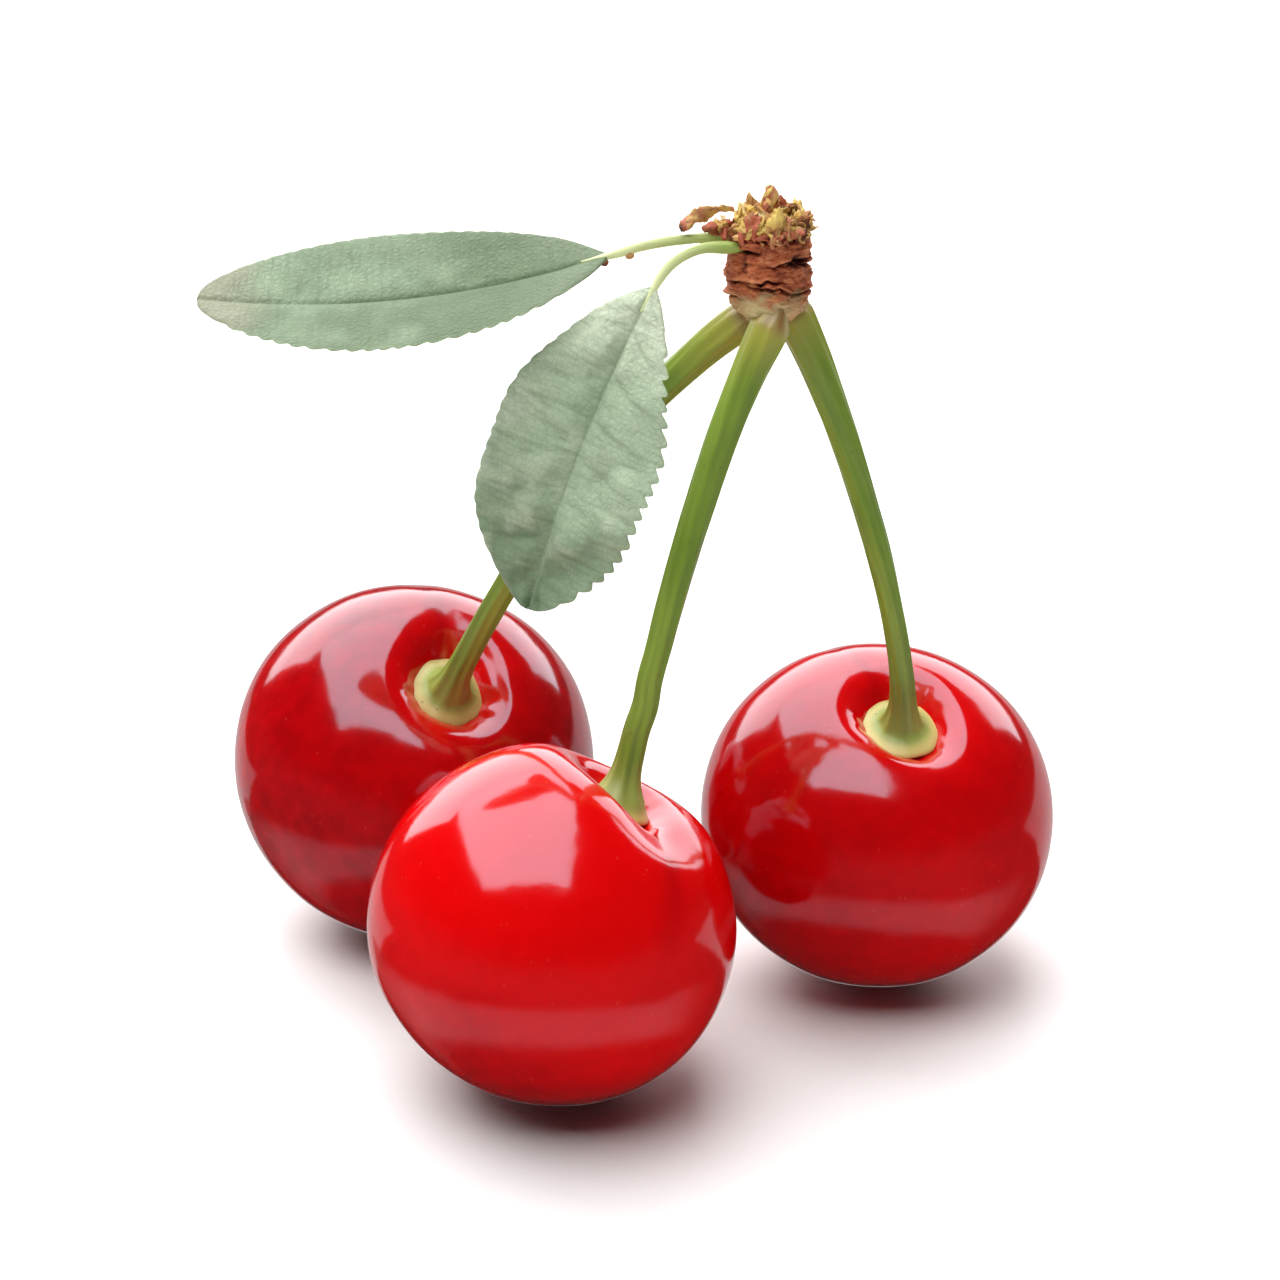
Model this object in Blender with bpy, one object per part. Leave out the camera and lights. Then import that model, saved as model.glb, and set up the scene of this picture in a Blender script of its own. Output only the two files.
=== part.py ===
"""A sprig of three sour cherries, picked with its woody spur and two small leaves.

It stands on its three fruits. Their stalks rise and meet under the spur, and the leaves grow from the
spur's left side. X runs to the right, Y away from the front, Z up, all in metres. The origin is on the
ground, under the middle of the sprig.
"""

import math
from collections import namedtuple

import bmesh
import bpy
from mathutils import Quaternion, Vector

UP = Vector((0.0, 0.0, 1.0))

# Clearance kept between two pieces that touch on the real sprig.
JOINT_GAP = 0.0003

# Each fruit leans away from upright by an angle, towards a heading measured round Z from +X.
# Each stalk starts under the spur at a place round it, and leaves it towards a heading and downwards.
# It stands square to the fruit at its foot, and keeps to that direction for a share of its length.
Cherry = namedtuple("Cherry", "diameter lean lean_heading port_turn leaving fall keeps")
LEFT = Cherry(0.0216, 37.2, -61.7, 150, 160, 38, 0.26)
FRONT = Cherry(0.0204, 29.8, 19.2, 270, 205, 60, 0.06)
RIGHT = Cherry(0.0206, 25.7, -72.9, 30, 10, 64, 0.20)

# Shape that the three fruits share, against a fruit's radius.
FRUIT_HEIGHT_SHARE = 0.95  # height of the dome, before the hollow is pressed in
HOLLOW_DEPTH_SHARE = 0.34
HOLLOW_WIDTH_SHARE = 0.30
FRUIT_STEPS_ROUND = 28
FRUIT_STEPS_DOWN = 18

# Plan of the three fruits: the gaps between neighbours, and how the group is turned.
GAP_LEFT_FRONT = 0.0014
GAP_FRONT_RIGHT = 0.0030
GAP_LEFT_RIGHT = 0.0070
GROUP_TURN = 36.9  # heading from the front fruit to the right one

# Stalks.
STEM_RADIUS = 0.00078  # along the middle
STEM_TOP_RADIUS = 0.00112  # where it joins the spur
STEM_FOOT_RADIUS = 0.00165  # flared foot in the fruit's hollow
STEM_RISE = 0.0212  # from the top of the tallest fruit up to the spur's foot
STEM_TOP_KEEPS = 0.36  # share of its length over which it keeps the direction it leaves the spur in
STEM_STATIONS = 22

# Spur: its place over the middle of the three fruits, and its own size.
SPUR_SHIFT_RIGHT = 0.0084
SPUR_SHIFT_BACK = -0.0032
SPUR_RADIUS = 0.00205
SPUR_HEIGHT = 0.0037
SPUR_RING_DEPTH = 0.00016
SPUR_RING_COUNT = 4
SPUR_RIM = 0.00022  # height of the worn rim round the crown

# Crown of the spur: one bud, and dry scales that stand side by side round the edge of the crown.
BUD_RADIUS = 0.00062
BUD_HEIGHT = 0.0022
SCALE_COUNT = 7
SCALE_HEIGHT = 0.0018
SCALE_THICKNESS = 0.00050
SCALE_LEAN = 12

# Leaves. A thin stalk leaves the spur's side at a place round it, and reaches the blade by way of an
# arch. The blade runs towards a heading, with its climb changing evenly from its base to its tip.
Leaf = namedtuple("Leaf", "port_turn leaving climb stalk blade width widest heading base_climb tip_climb roll")
LEFT_LEAF = Leaf(165, 176, -2, 0.0060, 0.0224, 0.0106, 0.50, 181, -18, 8, -19)
FRONT_LEAF = Leaf(205, 190, 6, 0.0042, 0.0188, 0.0104, 0.56, 198, -61, -75, -42)
LEAF_PORT_DROP = 0.0003  # from the top of the spur's bark down to the leaf stalks
LEAF_STALK_RADIUS = 0.00028
BLADE_THICKNESS = 0.00036
BLADE_FOLD = 0.12  # rise of a blade's edge against its distance from the midrib
BLADE_FULLNESS = 0.56  # power of the outline's arch: lower is blunter at both ends
STALK_STATIONS = 6
BLADE_STATIONS = 16
LEAF_SECTION_POINTS = 14

# A dried bract that comes down from the crown on to the left leaf's stalk.
BRACT_LENGTH = 0.0026
BRACT_WIDTH = 0.0010
BRACT_THICKNESS = 0.00055
BRACT_FALL = 18


def heading(turn, climb=0.0):
    """Unit vector at an angle round Z from +X, and at an angle above the level, both in degrees."""
    turn, climb = math.radians(turn), math.radians(climb)
    return Vector((math.cos(climb) * math.cos(turn), math.cos(climb) * math.sin(turn), math.sin(climb)))


def material(name, colour, roughness):
    made = bpy.data.materials.new(name)
    made.use_nodes = True
    surface = made.node_tree.nodes["Principled BSDF"]
    surface.inputs["Base Color"].default_value = (*colour, 1.0)
    surface.inputs["Roughness"].default_value = roughness
    surface.inputs["Metallic"].default_value = 0.0
    return made


def add_object(name, data, finish):
    data.materials.append(finish)
    made = bpy.data.objects.new(name, data)
    made.rotation_mode = "QUATERNION"
    bpy.context.scene.collection.objects.link(made)
    return made


def mesh_object(name, bm, finish):
    """Turns a bmesh into a smooth-shaded object, with its faces pointing out."""
    bmesh.ops.recalc_face_normals(bm, faces=bm.faces)
    mesh = bpy.data.meshes.new(name)
    bm.to_mesh(mesh)
    bm.free()
    mesh.shade_smooth()
    return add_object(name, mesh, finish)


def turned(name, profile, steps, finish):
    """A solid of revolution about Z. The profile's ends lie on the axis."""
    bm = bmesh.new()
    corners = [bm.verts.new((radius, 0.0, height)) for radius, height in profile]
    edges = [bm.edges.new(pair) for pair in zip(corners, corners[1:])]
    bmesh.ops.spin(
        bm, geom=corners + edges, cent=(0, 0, 0), axis=(0, 0, 1), angle=2 * math.pi, steps=steps
    )
    bmesh.ops.remove_doubles(bm, verts=bm.verts, dist=1e-6)
    return mesh_object(name, bm, finish)


def lofted(name, rings, finish):
    """A closed solid through rings of points, each bridged to the next, with both ends filled."""
    bm = bmesh.new()
    loops = []
    for ring in rings:
        corners = [bm.verts.new(point) for point in ring]
        loops.append([bm.edges.new(pair) for pair in zip(corners, corners[1:] + corners[:1])])
    for lower, upper in zip(loops, loops[1:]):
        bmesh.ops.bridge_loops(bm, edges=lower + upper)
    for end in (loops[0], loops[-1]):
        bmesh.ops.edgeloop_fill(bm, edges=end)
    return mesh_object(name, bm, finish)


def seed_shape(name, width, depth, height, finish):
    """A closed round body that stands on its object's origin and narrows towards its top."""
    bm = bmesh.new()
    bmesh.ops.create_uvsphere(bm, u_segments=10, v_segments=7, radius=0.5)
    for corner in bm.verts:
        taper = 1.0 - 0.45 * (corner.co.z + 0.5)
        corner.co.x *= width * taper
        corner.co.y *= depth * taper
        corner.co.z = (corner.co.z + 0.5) * height
    return mesh_object(name, bm, finish)


def bezier(points, share):
    """Point on the cubic curve through the first and last of four points."""
    a, b, c, d = points
    rest = 1.0 - share
    return a * rest**3 + b * 3 * rest**2 * share + c * 3 * rest * share**2 + d * share**3


def bezier_direction(points, share):
    a, b, c, d = points
    rest = 1.0 - share
    return ((b - a) * rest**2 + (c - b) * 2 * rest * share + (d - c) * share**2).normalized()


# --- Fruits ---------------------------------------------------------------------------------------


def fruit_axis(cherry):
    """Direction from a fruit's middle to its stalk."""
    return heading(cherry.lean_heading, 90 - cherry.lean)


def fruit_surface_height(share):
    """Height of the upper skin over the fruit's middle, at a distance from the axis, in radii."""
    dome = FRUIT_HEIGHT_SHARE * math.sqrt(max(0.0, 1.0 - share**2))
    return dome - HOLLOW_DEPTH_SHARE * math.exp(-((share / HOLLOW_WIDTH_SHARE) ** 2))


def fruit_profile(radius):
    """Outline from the pit of the hollow, over the shoulder, down to the far pole."""
    outline = []
    for step in range(FRUIT_STEPS_DOWN + 1):
        angle = math.pi * step / FRUIT_STEPS_DOWN
        share = math.sin(angle)
        if angle < math.pi / 2:
            height = fruit_surface_height(share)
        else:
            height = FRUIT_HEIGHT_SHARE * math.cos(angle)
        outline.append((radius * share if 0 < step < FRUIT_STEPS_DOWN else 0.0, radius * height))
    return outline


def fruit(name, cherry, place, finish):
    """A fruit that rests on the ground, with its hollow along its axis. Returns its middle."""
    made = turned(name, fruit_profile(cherry.diameter / 2), FRUIT_STEPS_ROUND, finish)
    turn = UP.rotation_difference(fruit_axis(cherry))
    lowest = min((turn @ corner.co).z for corner in made.data.vertices)
    made.rotation_quaternion = turn
    made.location = (place.x, place.y, -lowest)
    return made.location.copy()


def fruit_plan():
    """Places of the left, front and right fruits on the ground, from the gaps between them."""
    front_right = (FRONT.diameter + RIGHT.diameter) / 2 + GAP_FRONT_RIGHT
    left_front = (LEFT.diameter + FRONT.diameter) / 2 + GAP_LEFT_FRONT
    left_right = (LEFT.diameter + RIGHT.diameter) / 2 + GAP_LEFT_RIGHT
    cosine = (front_right**2 + left_front**2 - left_right**2) / (2 * front_right * left_front)
    corner = math.degrees(math.acos(max(-1.0, min(1.0, cosine))))
    front = Vector((0.0, 0.0, 0.0))
    return {
        "left": front + heading(GROUP_TURN + corner) * left_front,
        "front": front,
        "right": front + heading(GROUP_TURN) * front_right,
    }


# --- Stalks ---------------------------------------------------------------------------------------


def stem_port_circle():
    """Radius of the circle on which three stalk tops stand side by side under the spur."""
    return (STEM_TOP_RADIUS + JOINT_GAP / 2) / math.sin(math.radians(60))


def stem_port(cherry, spur_foot):
    """Middle of a stalk's slanting top face, set so low that the whole face clears the spur."""
    slant_rise = STEM_TOP_RADIUS * heading(cherry.leaving, -cherry.fall).xy.length
    return spur_foot + heading(cherry.port_turn) * stem_port_circle() - UP * (JOINT_GAP + slant_rise)


def stem_radius(share):
    """A stalk's radius from its foot, at 0, to its top, at 1."""
    foot = (STEM_FOOT_RADIUS - STEM_RADIUS) * math.exp(-((share / 0.045) ** 2))
    neck = 0.3 * STEM_RADIUS * math.exp(-((share / 0.13) ** 2))
    top = (STEM_TOP_RADIUS - STEM_RADIUS) * share**3
    return STEM_RADIUS + foot + neck + top


def stem(name, cherry, fruit_middle, port, finish):
    """A stalk from the hollow of its fruit up to its port under the spur."""
    axis = fruit_axis(cherry)
    radius = cherry.diameter / 2
    foot = fruit_middle + axis * (radius * fruit_surface_height(STEM_FOOT_RADIUS / radius) + JOINT_GAP)
    reach = (port - foot).length
    leaving = heading(cherry.leaving, -cherry.fall)
    route = (foot, foot + axis * reach * cherry.keeps, port + leaving * reach * STEM_TOP_KEEPS, port)
    curve = bpy.data.curves.new(name, "CURVE")
    curve.dimensions = "3D"
    curve.bevel_depth = STEM_RADIUS
    curve.bevel_resolution = 3
    curve.use_fill_caps = True
    spline = curve.splines.new("POLY")
    spline.points.add(STEM_STATIONS)
    for number, point in enumerate(spline.points):
        share = (number / STEM_STATIONS) ** 1.35  # closer together in the flared foot
        point.co = (*bezier(route, share), 1.0)
        point.radius = stem_radius(share) / STEM_RADIUS
    add_object(name, curve, finish)


# --- Spur and its crown ---------------------------------------------------------------------------


def spur_side_radius(share):
    """The spur's radius from its foot, at 0, to its crown, at 1, waved by its rings of bark."""
    return SPUR_RADIUS + SPUR_RING_DEPTH * math.sin(2 * math.pi * SPUR_RING_COUNT * share)


def spur(foot, finish):
    """The spur, standing on its foot. Returns the middle of its flat crown."""
    stations = SPUR_RING_COUNT * 5
    sides = [(spur_side_radius(n / stations), SPUR_HEIGHT * n / stations) for n in range(stations + 1)]
    rim = (SPUR_RADIUS - SPUR_RIM, SPUR_HEIGHT + SPUR_RIM)
    made = turned("spur", [(0.0, 0.0), *sides, rim, (0.0, rim[1])], 18, finish)
    made.location = foot
    return foot + UP * rim[1]


def crown(top, finish):
    """The bud on the spur's crown, and the ring of dry scales that lean away from it."""
    bud = seed_shape("terminal_bud", 2 * BUD_RADIUS, 2 * BUD_RADIUS, BUD_HEIGHT, finish)
    bud.location = top + UP * JOINT_GAP
    circle = SPUR_RADIUS - SPUR_RIM - SCALE_THICKNESS / 2
    width = 2 * circle * math.sin(math.pi / SCALE_COUNT) - JOINT_GAP
    lean = Quaternion((0, 1, 0), math.radians(SCALE_LEAN))
    for number in range(SCALE_COUNT):
        turn = 360 * (number + 0.5) / SCALE_COUNT
        scale = seed_shape(f"bud_scale_{number + 1}", SCALE_THICKNESS, width, SCALE_HEIGHT, finish)
        scale.rotation_quaternion = Quaternion(UP, math.radians(turn)) @ lean
        scale.location = top + heading(turn) * circle + UP * JOINT_GAP


# --- Leaves ---------------------------------------------------------------------------------------


def leaf_port(shape, spur_foot):
    """Where a leaf's stalk starts beside the spur, clear of its bark."""
    clear = SPUR_RADIUS + SPUR_RING_DEPTH + JOINT_GAP + LEAF_STALK_RADIUS
    return spur_foot + heading(shape.port_turn) * clear + UP * (SPUR_HEIGHT - LEAF_PORT_DROP)


def blade_half_width(share, widest):
    """Outline of a blade from its base, at 0, to its rounded tip, at 1, as a share of its widest."""
    bend = math.log(0.5) / math.log(widest)
    return math.sin(math.pi * share**bend) ** BLADE_FULLNESS if 0 < share < 1 else 0.0


def leaf_line(shape, port):
    """The leaf's middle line, as places with their directions, and each one's share of the blade."""
    leaving = heading(shape.leaving, shape.climb)
    blade_start = heading(shape.heading, shape.base_climb)
    base = port + (leaving + blade_start).normalized() * shape.stalk
    arch = (port, port + leaving * shape.stalk * 0.4, base - blade_start * shape.stalk * 0.4, base)
    line = []
    for number in range(STALK_STATIONS):
        share = number / STALK_STATIONS
        line.append((bezier(arch, share), bezier_direction(arch, share), 0.0))
    place = base
    for number in range(BLADE_STATIONS + 1):
        share = number / BLADE_STATIONS
        along = heading(shape.heading, shape.base_climb + (shape.tip_climb - shape.base_climb) * share)
        line.append((place.copy(), along, share))
        place += along * shape.blade / BLADE_STATIONS
    return line


def leaf(name, shape, port, finish):
    """A leaf in one piece. Its sections are round on the stalk, and thin and folded on the blade."""
    rings = []
    for place, along, share in leaf_line(shape, port):
        across = Quaternion(along, math.radians(shape.roll)) @ along.cross(UP).normalized()
        lift_way = across.cross(along)
        wide = max(LEAF_STALK_RADIUS, shape.width / 2 * blade_half_width(share, shape.widest))
        thick = BLADE_THICKNESS / 2 if share > 0 else LEAF_STALK_RADIUS
        ring = []
        for number in range(LEAF_SECTION_POINTS):
            angle = 2 * math.pi * number / LEAF_SECTION_POINTS
            side = wide * math.cos(angle)
            lift = thick * math.sin(angle) + BLADE_FOLD * max(0.0, abs(side) - LEAF_STALK_RADIUS)
            ring.append(place + across * side + lift_way * lift)
        rings.append(ring)
    lofted(name, rings, finish)


def dry_bract(shape, port, finish):
    """A dried bract that slopes down from the crown until its far end meets a leaf's stalk."""
    made = seed_shape("dry_bract", BRACT_THICKNESS, BRACT_WIDTH, BRACT_LENGTH, finish)
    slope = heading(shape.leaving, -BRACT_FALL)
    over_stalk = UP * (LEAF_STALK_RADIUS + BRACT_THICKNESS / 2 + JOINT_GAP)
    far_end = port + heading(shape.leaving, shape.climb) * BRACT_LENGTH + over_stalk
    made.rotation_quaternion = UP.rotation_difference(slope)
    made.location = far_end - slope * BRACT_LENGTH


# --- The sprig ------------------------------------------------------------------------------------


def centre_over_origin():
    """Moves the sprig so that the middle of its bounding box stands over the origin."""
    bpy.context.view_layer.update()
    graph = bpy.context.evaluated_depsgraph_get()
    points = []
    for made in bpy.context.scene.objects:
        shape = made.evaluated_get(graph)
        points += [shape.matrix_world @ corner.co for corner in shape.to_mesh().vertices]
        shape.to_mesh_clear()
    across = [point.x for point in points]
    back = [point.y for point in points]
    shift = Vector((-(min(across) + max(across)) / 2, -(min(back) + max(back)) / 2, 0.0))
    for made in bpy.context.scene.objects:
        made.location += shift


def main():
    for old in list(bpy.data.objects):
        bpy.data.objects.remove(old, do_unlink=True)

    skin = material("cherry_skin", (0.42, 0.004, 0.010), 0.12)
    green = material("stalk_green", (0.23, 0.33, 0.06), 0.45)
    bark = material("spur_bark", (0.30, 0.13, 0.06), 0.85)
    bud_brown = material("bud_brown", (0.42, 0.27, 0.08), 0.80)
    leaf_green = material("leaf_green", (0.20, 0.33, 0.19), 0.60)

    cherries = {"left": LEFT, "front": FRONT, "right": RIGHT}
    plan = fruit_plan()
    middles = {side: fruit(f"cherry_{side}", cherry, plan[side], skin) for side, cherry in cherries.items()}

    tallest = max(cherry.diameter for cherry in cherries.values())
    group_middle = sum(plan.values(), Vector()) / len(plan)
    spur_foot = group_middle + Vector((SPUR_SHIFT_RIGHT, SPUR_SHIFT_BACK, tallest + STEM_RISE))
    crown(spur(spur_foot, bark), bud_brown)
    for side, cherry in cherries.items():
        stem(f"stem_{side}", cherry, middles[side], stem_port(cherry, spur_foot), green)

    leaf("leaf_left", LEFT_LEAF, leaf_port(LEFT_LEAF, spur_foot), leaf_green)
    leaf("leaf_front", FRONT_LEAF, leaf_port(FRONT_LEAF, spur_foot), leaf_green)
    dry_bract(LEFT_LEAF, leaf_port(LEFT_LEAF, spur_foot), bud_brown)

    centre_over_origin()


main()
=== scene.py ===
"""A sprig of three sour cherries: skins, stalks, bark, bud scales and leaves, and the studio round it."""

import bpy
import numpy as np
from bpy.props import FloatProperty, FloatVectorProperty, IntProperty, PointerProperty
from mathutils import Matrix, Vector


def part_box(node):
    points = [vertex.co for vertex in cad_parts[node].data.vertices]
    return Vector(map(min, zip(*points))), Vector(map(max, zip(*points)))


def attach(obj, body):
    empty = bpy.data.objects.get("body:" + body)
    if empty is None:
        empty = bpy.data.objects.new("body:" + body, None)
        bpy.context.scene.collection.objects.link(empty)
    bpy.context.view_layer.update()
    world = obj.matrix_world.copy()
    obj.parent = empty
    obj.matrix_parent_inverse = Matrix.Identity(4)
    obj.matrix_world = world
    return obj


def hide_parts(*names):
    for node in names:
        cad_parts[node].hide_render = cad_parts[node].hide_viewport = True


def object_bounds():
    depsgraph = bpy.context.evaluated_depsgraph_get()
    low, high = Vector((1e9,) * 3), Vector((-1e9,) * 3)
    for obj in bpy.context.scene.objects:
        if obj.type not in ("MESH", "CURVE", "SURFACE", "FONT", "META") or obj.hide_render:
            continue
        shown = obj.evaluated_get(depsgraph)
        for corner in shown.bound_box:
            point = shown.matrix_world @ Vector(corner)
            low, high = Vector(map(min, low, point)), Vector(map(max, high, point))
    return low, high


bl_info = {
    "name": "Sour Cherry Sprig",
    "version": (1, 0, 0),
    "blender": (4, 5, 0),
    "location": "View3D > Sidebar > Cherry Sprig",
    "description": "Builds a sprig of three sour cherries around its packed model",
    "category": "Add Mesh",
}

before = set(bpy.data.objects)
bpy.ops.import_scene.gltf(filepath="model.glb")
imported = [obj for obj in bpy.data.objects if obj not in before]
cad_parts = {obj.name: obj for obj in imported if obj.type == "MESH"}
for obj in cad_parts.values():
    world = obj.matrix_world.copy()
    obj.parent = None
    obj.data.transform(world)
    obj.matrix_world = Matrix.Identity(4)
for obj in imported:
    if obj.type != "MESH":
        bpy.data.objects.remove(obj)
CAD_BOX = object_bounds()

MM = 0.001
FULL_TURN = 2 * np.pi
UP = np.array([0.0, 0.0, 1.0])
TO_FRONT = np.array([0.0, -1.0, 0.0])


# --- Numbers and curves ---------------------------------------------------------------------------


def tint(red, green, blue):
    """A colour given in screen values from 0 to 255, as the linear values that shaders take."""
    screen = np.array([red, green, blue]) / 255
    linear = np.where(screen <= 0.04045, screen / 12.92, ((screen + 0.055) / 1.055) ** 2.4)
    return tuple(float(value) for value in linear)


def unit(vectors):
    """Vectors scaled to a length of one."""
    return vectors / np.linalg.norm(vectors, axis=-1, keepdims=True)


def hump(value, middle, width):
    """A bell curve: one at the middle, falling away to nothing over about two widths."""
    return np.exp(-(((value - middle) / width) ** 2))


def rise(value, low, high):
    """Nought below low, one above high, and an S-shaped step between them."""
    share = np.clip((value - low) / (high - low), 0, 1)
    return share * share * (3 - 2 * share)


def lattice_noise(places, seed):
    """Random values at the whole-number corners of space, blended by an S-shaped step between them."""
    table = np.random.default_rng(seed).uniform(-1, 1, 4096)
    corner = np.floor(places).astype(np.int64)
    share = places - corner
    share = share * share * (3 - 2 * share)
    total = np.zeros(places.shape[:-1])
    for code in range(8):
        step = np.array([code & 1, code >> 1 & 1, code >> 2 & 1])
        at = corner + step
        key = at[..., 0] * 73856093 ^ at[..., 1] * 19349663 ^ at[..., 2] * 83492791
        weight = np.where(step == 1, share, 1 - share).prod(-1)
        total += weight * table[key & 4095]
    return total


def rough_noise(places, seed, layers):
    """Lattice noise added to itself at twice the fineness and half the height, once for each layer."""
    return sum(lattice_noise(places * 2**n + 17.3 * n, seed + n) / 2**n for n in range(layers))


def unit_ball(down, turn):
    """Points on a ball of radius one: down runs from 0 at its top to pi at its foot, and turn runs round."""
    out = np.sin(down)
    return np.stack([out * np.cos(turn), out * np.sin(turn), np.cos(down) + 0 * turn], axis=-1)


def unit_barrel(turn, height):
    """Points on an upright barrel of radius one, at each turn and height."""
    return np.stack([np.cos(turn) + 0 * height, np.sin(turn) + 0 * height, height + 0 * turn], axis=-1)


def whole_turn(columns):
    """A row of turns, evenly spaced round a full one."""
    return np.linspace(0, FULL_TURN, columns, endpoint=False)[None, :]


def pole_to_pole(rows):
    """A column of angles from a ball's top to its foot, without the two poles."""
    return (np.pi * np.linspace(0, 1, rows + 2)[1:-1])[:, None]


def across(line, reference):
    """Two directions square to a line's own and to each other, the first as near the reference as can be."""
    first = unit(reference - (reference * line).sum(-1, keepdims=True) * line)
    return first, np.cross(line, first)


# --- Reading the packed model ---------------------------------------------------------------------


def node_mesh(node):
    """The corners of a CAD node, each one once, and its triangles."""
    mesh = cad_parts[node].data
    corners = np.empty(len(mesh.vertices) * 3, np.float32)
    mesh.vertices.foreach_get("co", corners)
    numbers = np.empty(len(mesh.loops), np.int32)
    mesh.loops.foreach_get("vertex_index", numbers)
    corners = np.round(corners.reshape(-1, 3).astype(float), 7)
    corners, place = np.unique(corners, axis=0, return_inverse=True)
    return corners, place.ravel()[numbers].reshape(-1, 3)


def node_box(node):
    """The middle of a CAD node's box, and half of its size each way."""
    low, high = (np.array(corner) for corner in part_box(node))
    return (low + high) / 2, (high - low) / 2


def fruit_frame(node):
    """A fruit's middle, the direction of its stalk, and its radius."""
    corners, _ = node_mesh(node)
    box_middle = (corners.min(0) + corners.max(0)) / 2
    pit = corners[np.linalg.norm(corners - box_middle, axis=1).argmin()]
    pole = corners[np.linalg.norm(corners - pit, axis=1).argmax()]
    axis = unit(pit - pole)
    along = (corners - pole) @ axis
    away = np.linalg.norm(corners - pole - along[:, None] * axis, axis=1)
    radius = away.max()
    middle = pole + axis * along[away > 0.9995 * radius].mean()
    return middle, axis, radius


END_SPREAD = 1.2 * MM  # how much further than its nearest corner a flat end can reach from the start

RING_GAP = 0.15 * MM  # least distance along a line from one ring to the next


class Line:
    """The middle line of a long CAD node, with its half width and the direction of its width.

    The node was lofted through rings of corners. The first ring edges the flat end that faces the
    start, and each next one is made of the neighbours of the last. A natural cubic spline through
    the rings' middles gives a place for each distance from the start. The corners are then grouped
    again by where they lie along that line, which puts right a ring that had lost a corner."""

    def __init__(self, node, start):
        corners, triangles = node_mesh(node)
        edges = np.concatenate([triangles[:, [0, 1]], triangles[:, [1, 2]], triangles[:, [2, 0]]])
        edges = np.concatenate([edges, edges[:, ::-1]])
        reach = np.linalg.norm(corners - start, axis=1)
        toward = unit(start - corners[np.argsort(reach)[:6]].mean(0))
        a, b, c = (corners[triangles[:, number]] for number in range(3))
        facing = unit(np.cross(b - a, c - a)) @ toward > 0.8
        level = np.full(len(corners), -1)
        level[triangles[facing & (reach[triangles].max(1) < reach.min() + END_SPREAD)]] = 0
        while (level < 0).any():
            newest = level.max()
            level[edges[(level[edges[:, 0]] == newest) & (level[edges[:, 1]] < 0), 1]] = newest + 1
            if level.max() == newest:
                raise RuntimeError(f"the rings of {node} can't be followed from one end to the other")
        self.thread([corners[level == number] for number in range(level.max() + 1)])
        for _ in range(2):
            fine = np.linspace(-1.0 * MM, self.length + 1.0 * MM, 3000)
            gaps = np.linalg.norm(corners[:, None] - self.place_and_way(fine)[0][None], axis=2)
            along = fine[gaps.argmin(1)]
            order = np.argsort(along)
            cuts = np.nonzero(np.diff(along[order]) > RING_GAP)[0] + 1
            self.thread([corners[group] for group in np.split(order, cuts)])

    def thread(self, rings):
        """Runs the spline through the middles of the rings, and measures each ring."""
        self.middles = np.array([ring.mean(0) for ring in rings])
        self.at = np.concatenate([[0], np.cumsum(np.linalg.norm(np.diff(self.middles, axis=0), axis=1))])
        self.length = self.at[-1]
        self.half_width = np.array([np.linalg.norm(r - m, axis=1).max() for r, m in zip(rings, self.middles)])
        self.side = np.array([np.linalg.svd(ring - middle)[2][0] for ring, middle in zip(rings, self.middles)])
        steps = np.diff(self.at)
        inner = np.arange(1, len(self.at) - 1)
        system = np.eye(len(self.at))
        system[inner, inner - 1], system[inner, inner + 1] = steps[:-1], steps[1:]
        system[inner, inner] = 2 * (steps[:-1] + steps[1:])
        slopes = np.diff(self.middles, axis=0) / steps[:, None]
        still = np.zeros((1, 3))
        self.bend = np.linalg.solve(system, np.concatenate([still, 6 * np.diff(slopes, axis=0), still]))

    def place_and_way(self, distance):
        """Places on the line and its directions there. Past either end the line runs on straight."""
        distance = np.asarray(distance, float)
        inside = np.clip(distance, 0, self.length)
        number = np.clip(np.searchsorted(self.at, inside) - 1, 0, len(self.at) - 2)
        step = (self.at[number + 1] - self.at[number])[:, None]
        after = (inside - self.at[number])[:, None] / step
        before = 1 - after
        first, last = self.middles[number], self.middles[number + 1]
        bend_first, bend_last = self.bend[number], self.bend[number + 1]
        places = before * first + after * last
        places += step**2 / 6 * ((before**3 - before) * bend_first + (after**3 - after) * bend_last)
        ways = (last - first) / step
        ways += step / 6 * ((1 - 3 * before**2) * bend_first + (3 * after**2 - 1) * bend_last)
        return places + (distance - inside)[:, None] * unit(ways), unit(ways)


def tube(line, at, turn, radius):
    """Points round a line at each distance along it, as far from it as the radius says.

    A turn of nought faces the front."""
    places, ways = line.place_and_way(at[:, 0])
    front, right = across(ways, TO_FRONT)
    ring = np.cos(turn)[..., None] * front[:, None] + np.sin(turn)[..., None] * right[:, None]
    return places[:, None] + radius[..., None] * ring


# --- Making pieces --------------------------------------------------------------------------------


def ring_faces(rows, columns):
    """The numbers of corners in rings, those of their neighbours, and the faces from ring to ring."""
    index = np.arange(rows * columns).reshape(rows, columns)
    following = np.roll(index, -1, axis=1)
    quads = np.stack([index[:-1], following[:-1], following[1:], index[1:]], axis=-1).reshape(-1, 4)
    return index, following, quads


def shell_faces(rows, columns):
    """Faces of one closed shell: rings of corners, then its two end corners."""
    index, following, quads = ring_faces(rows, columns)
    ends = np.full(columns, rows * columns)
    start = np.stack([ends, following[0], index[0]], axis=-1)
    finish = np.stack([ends + 1, index[-1], following[-1]], axis=-1)
    return quads, np.concatenate([start, finish])


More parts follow.
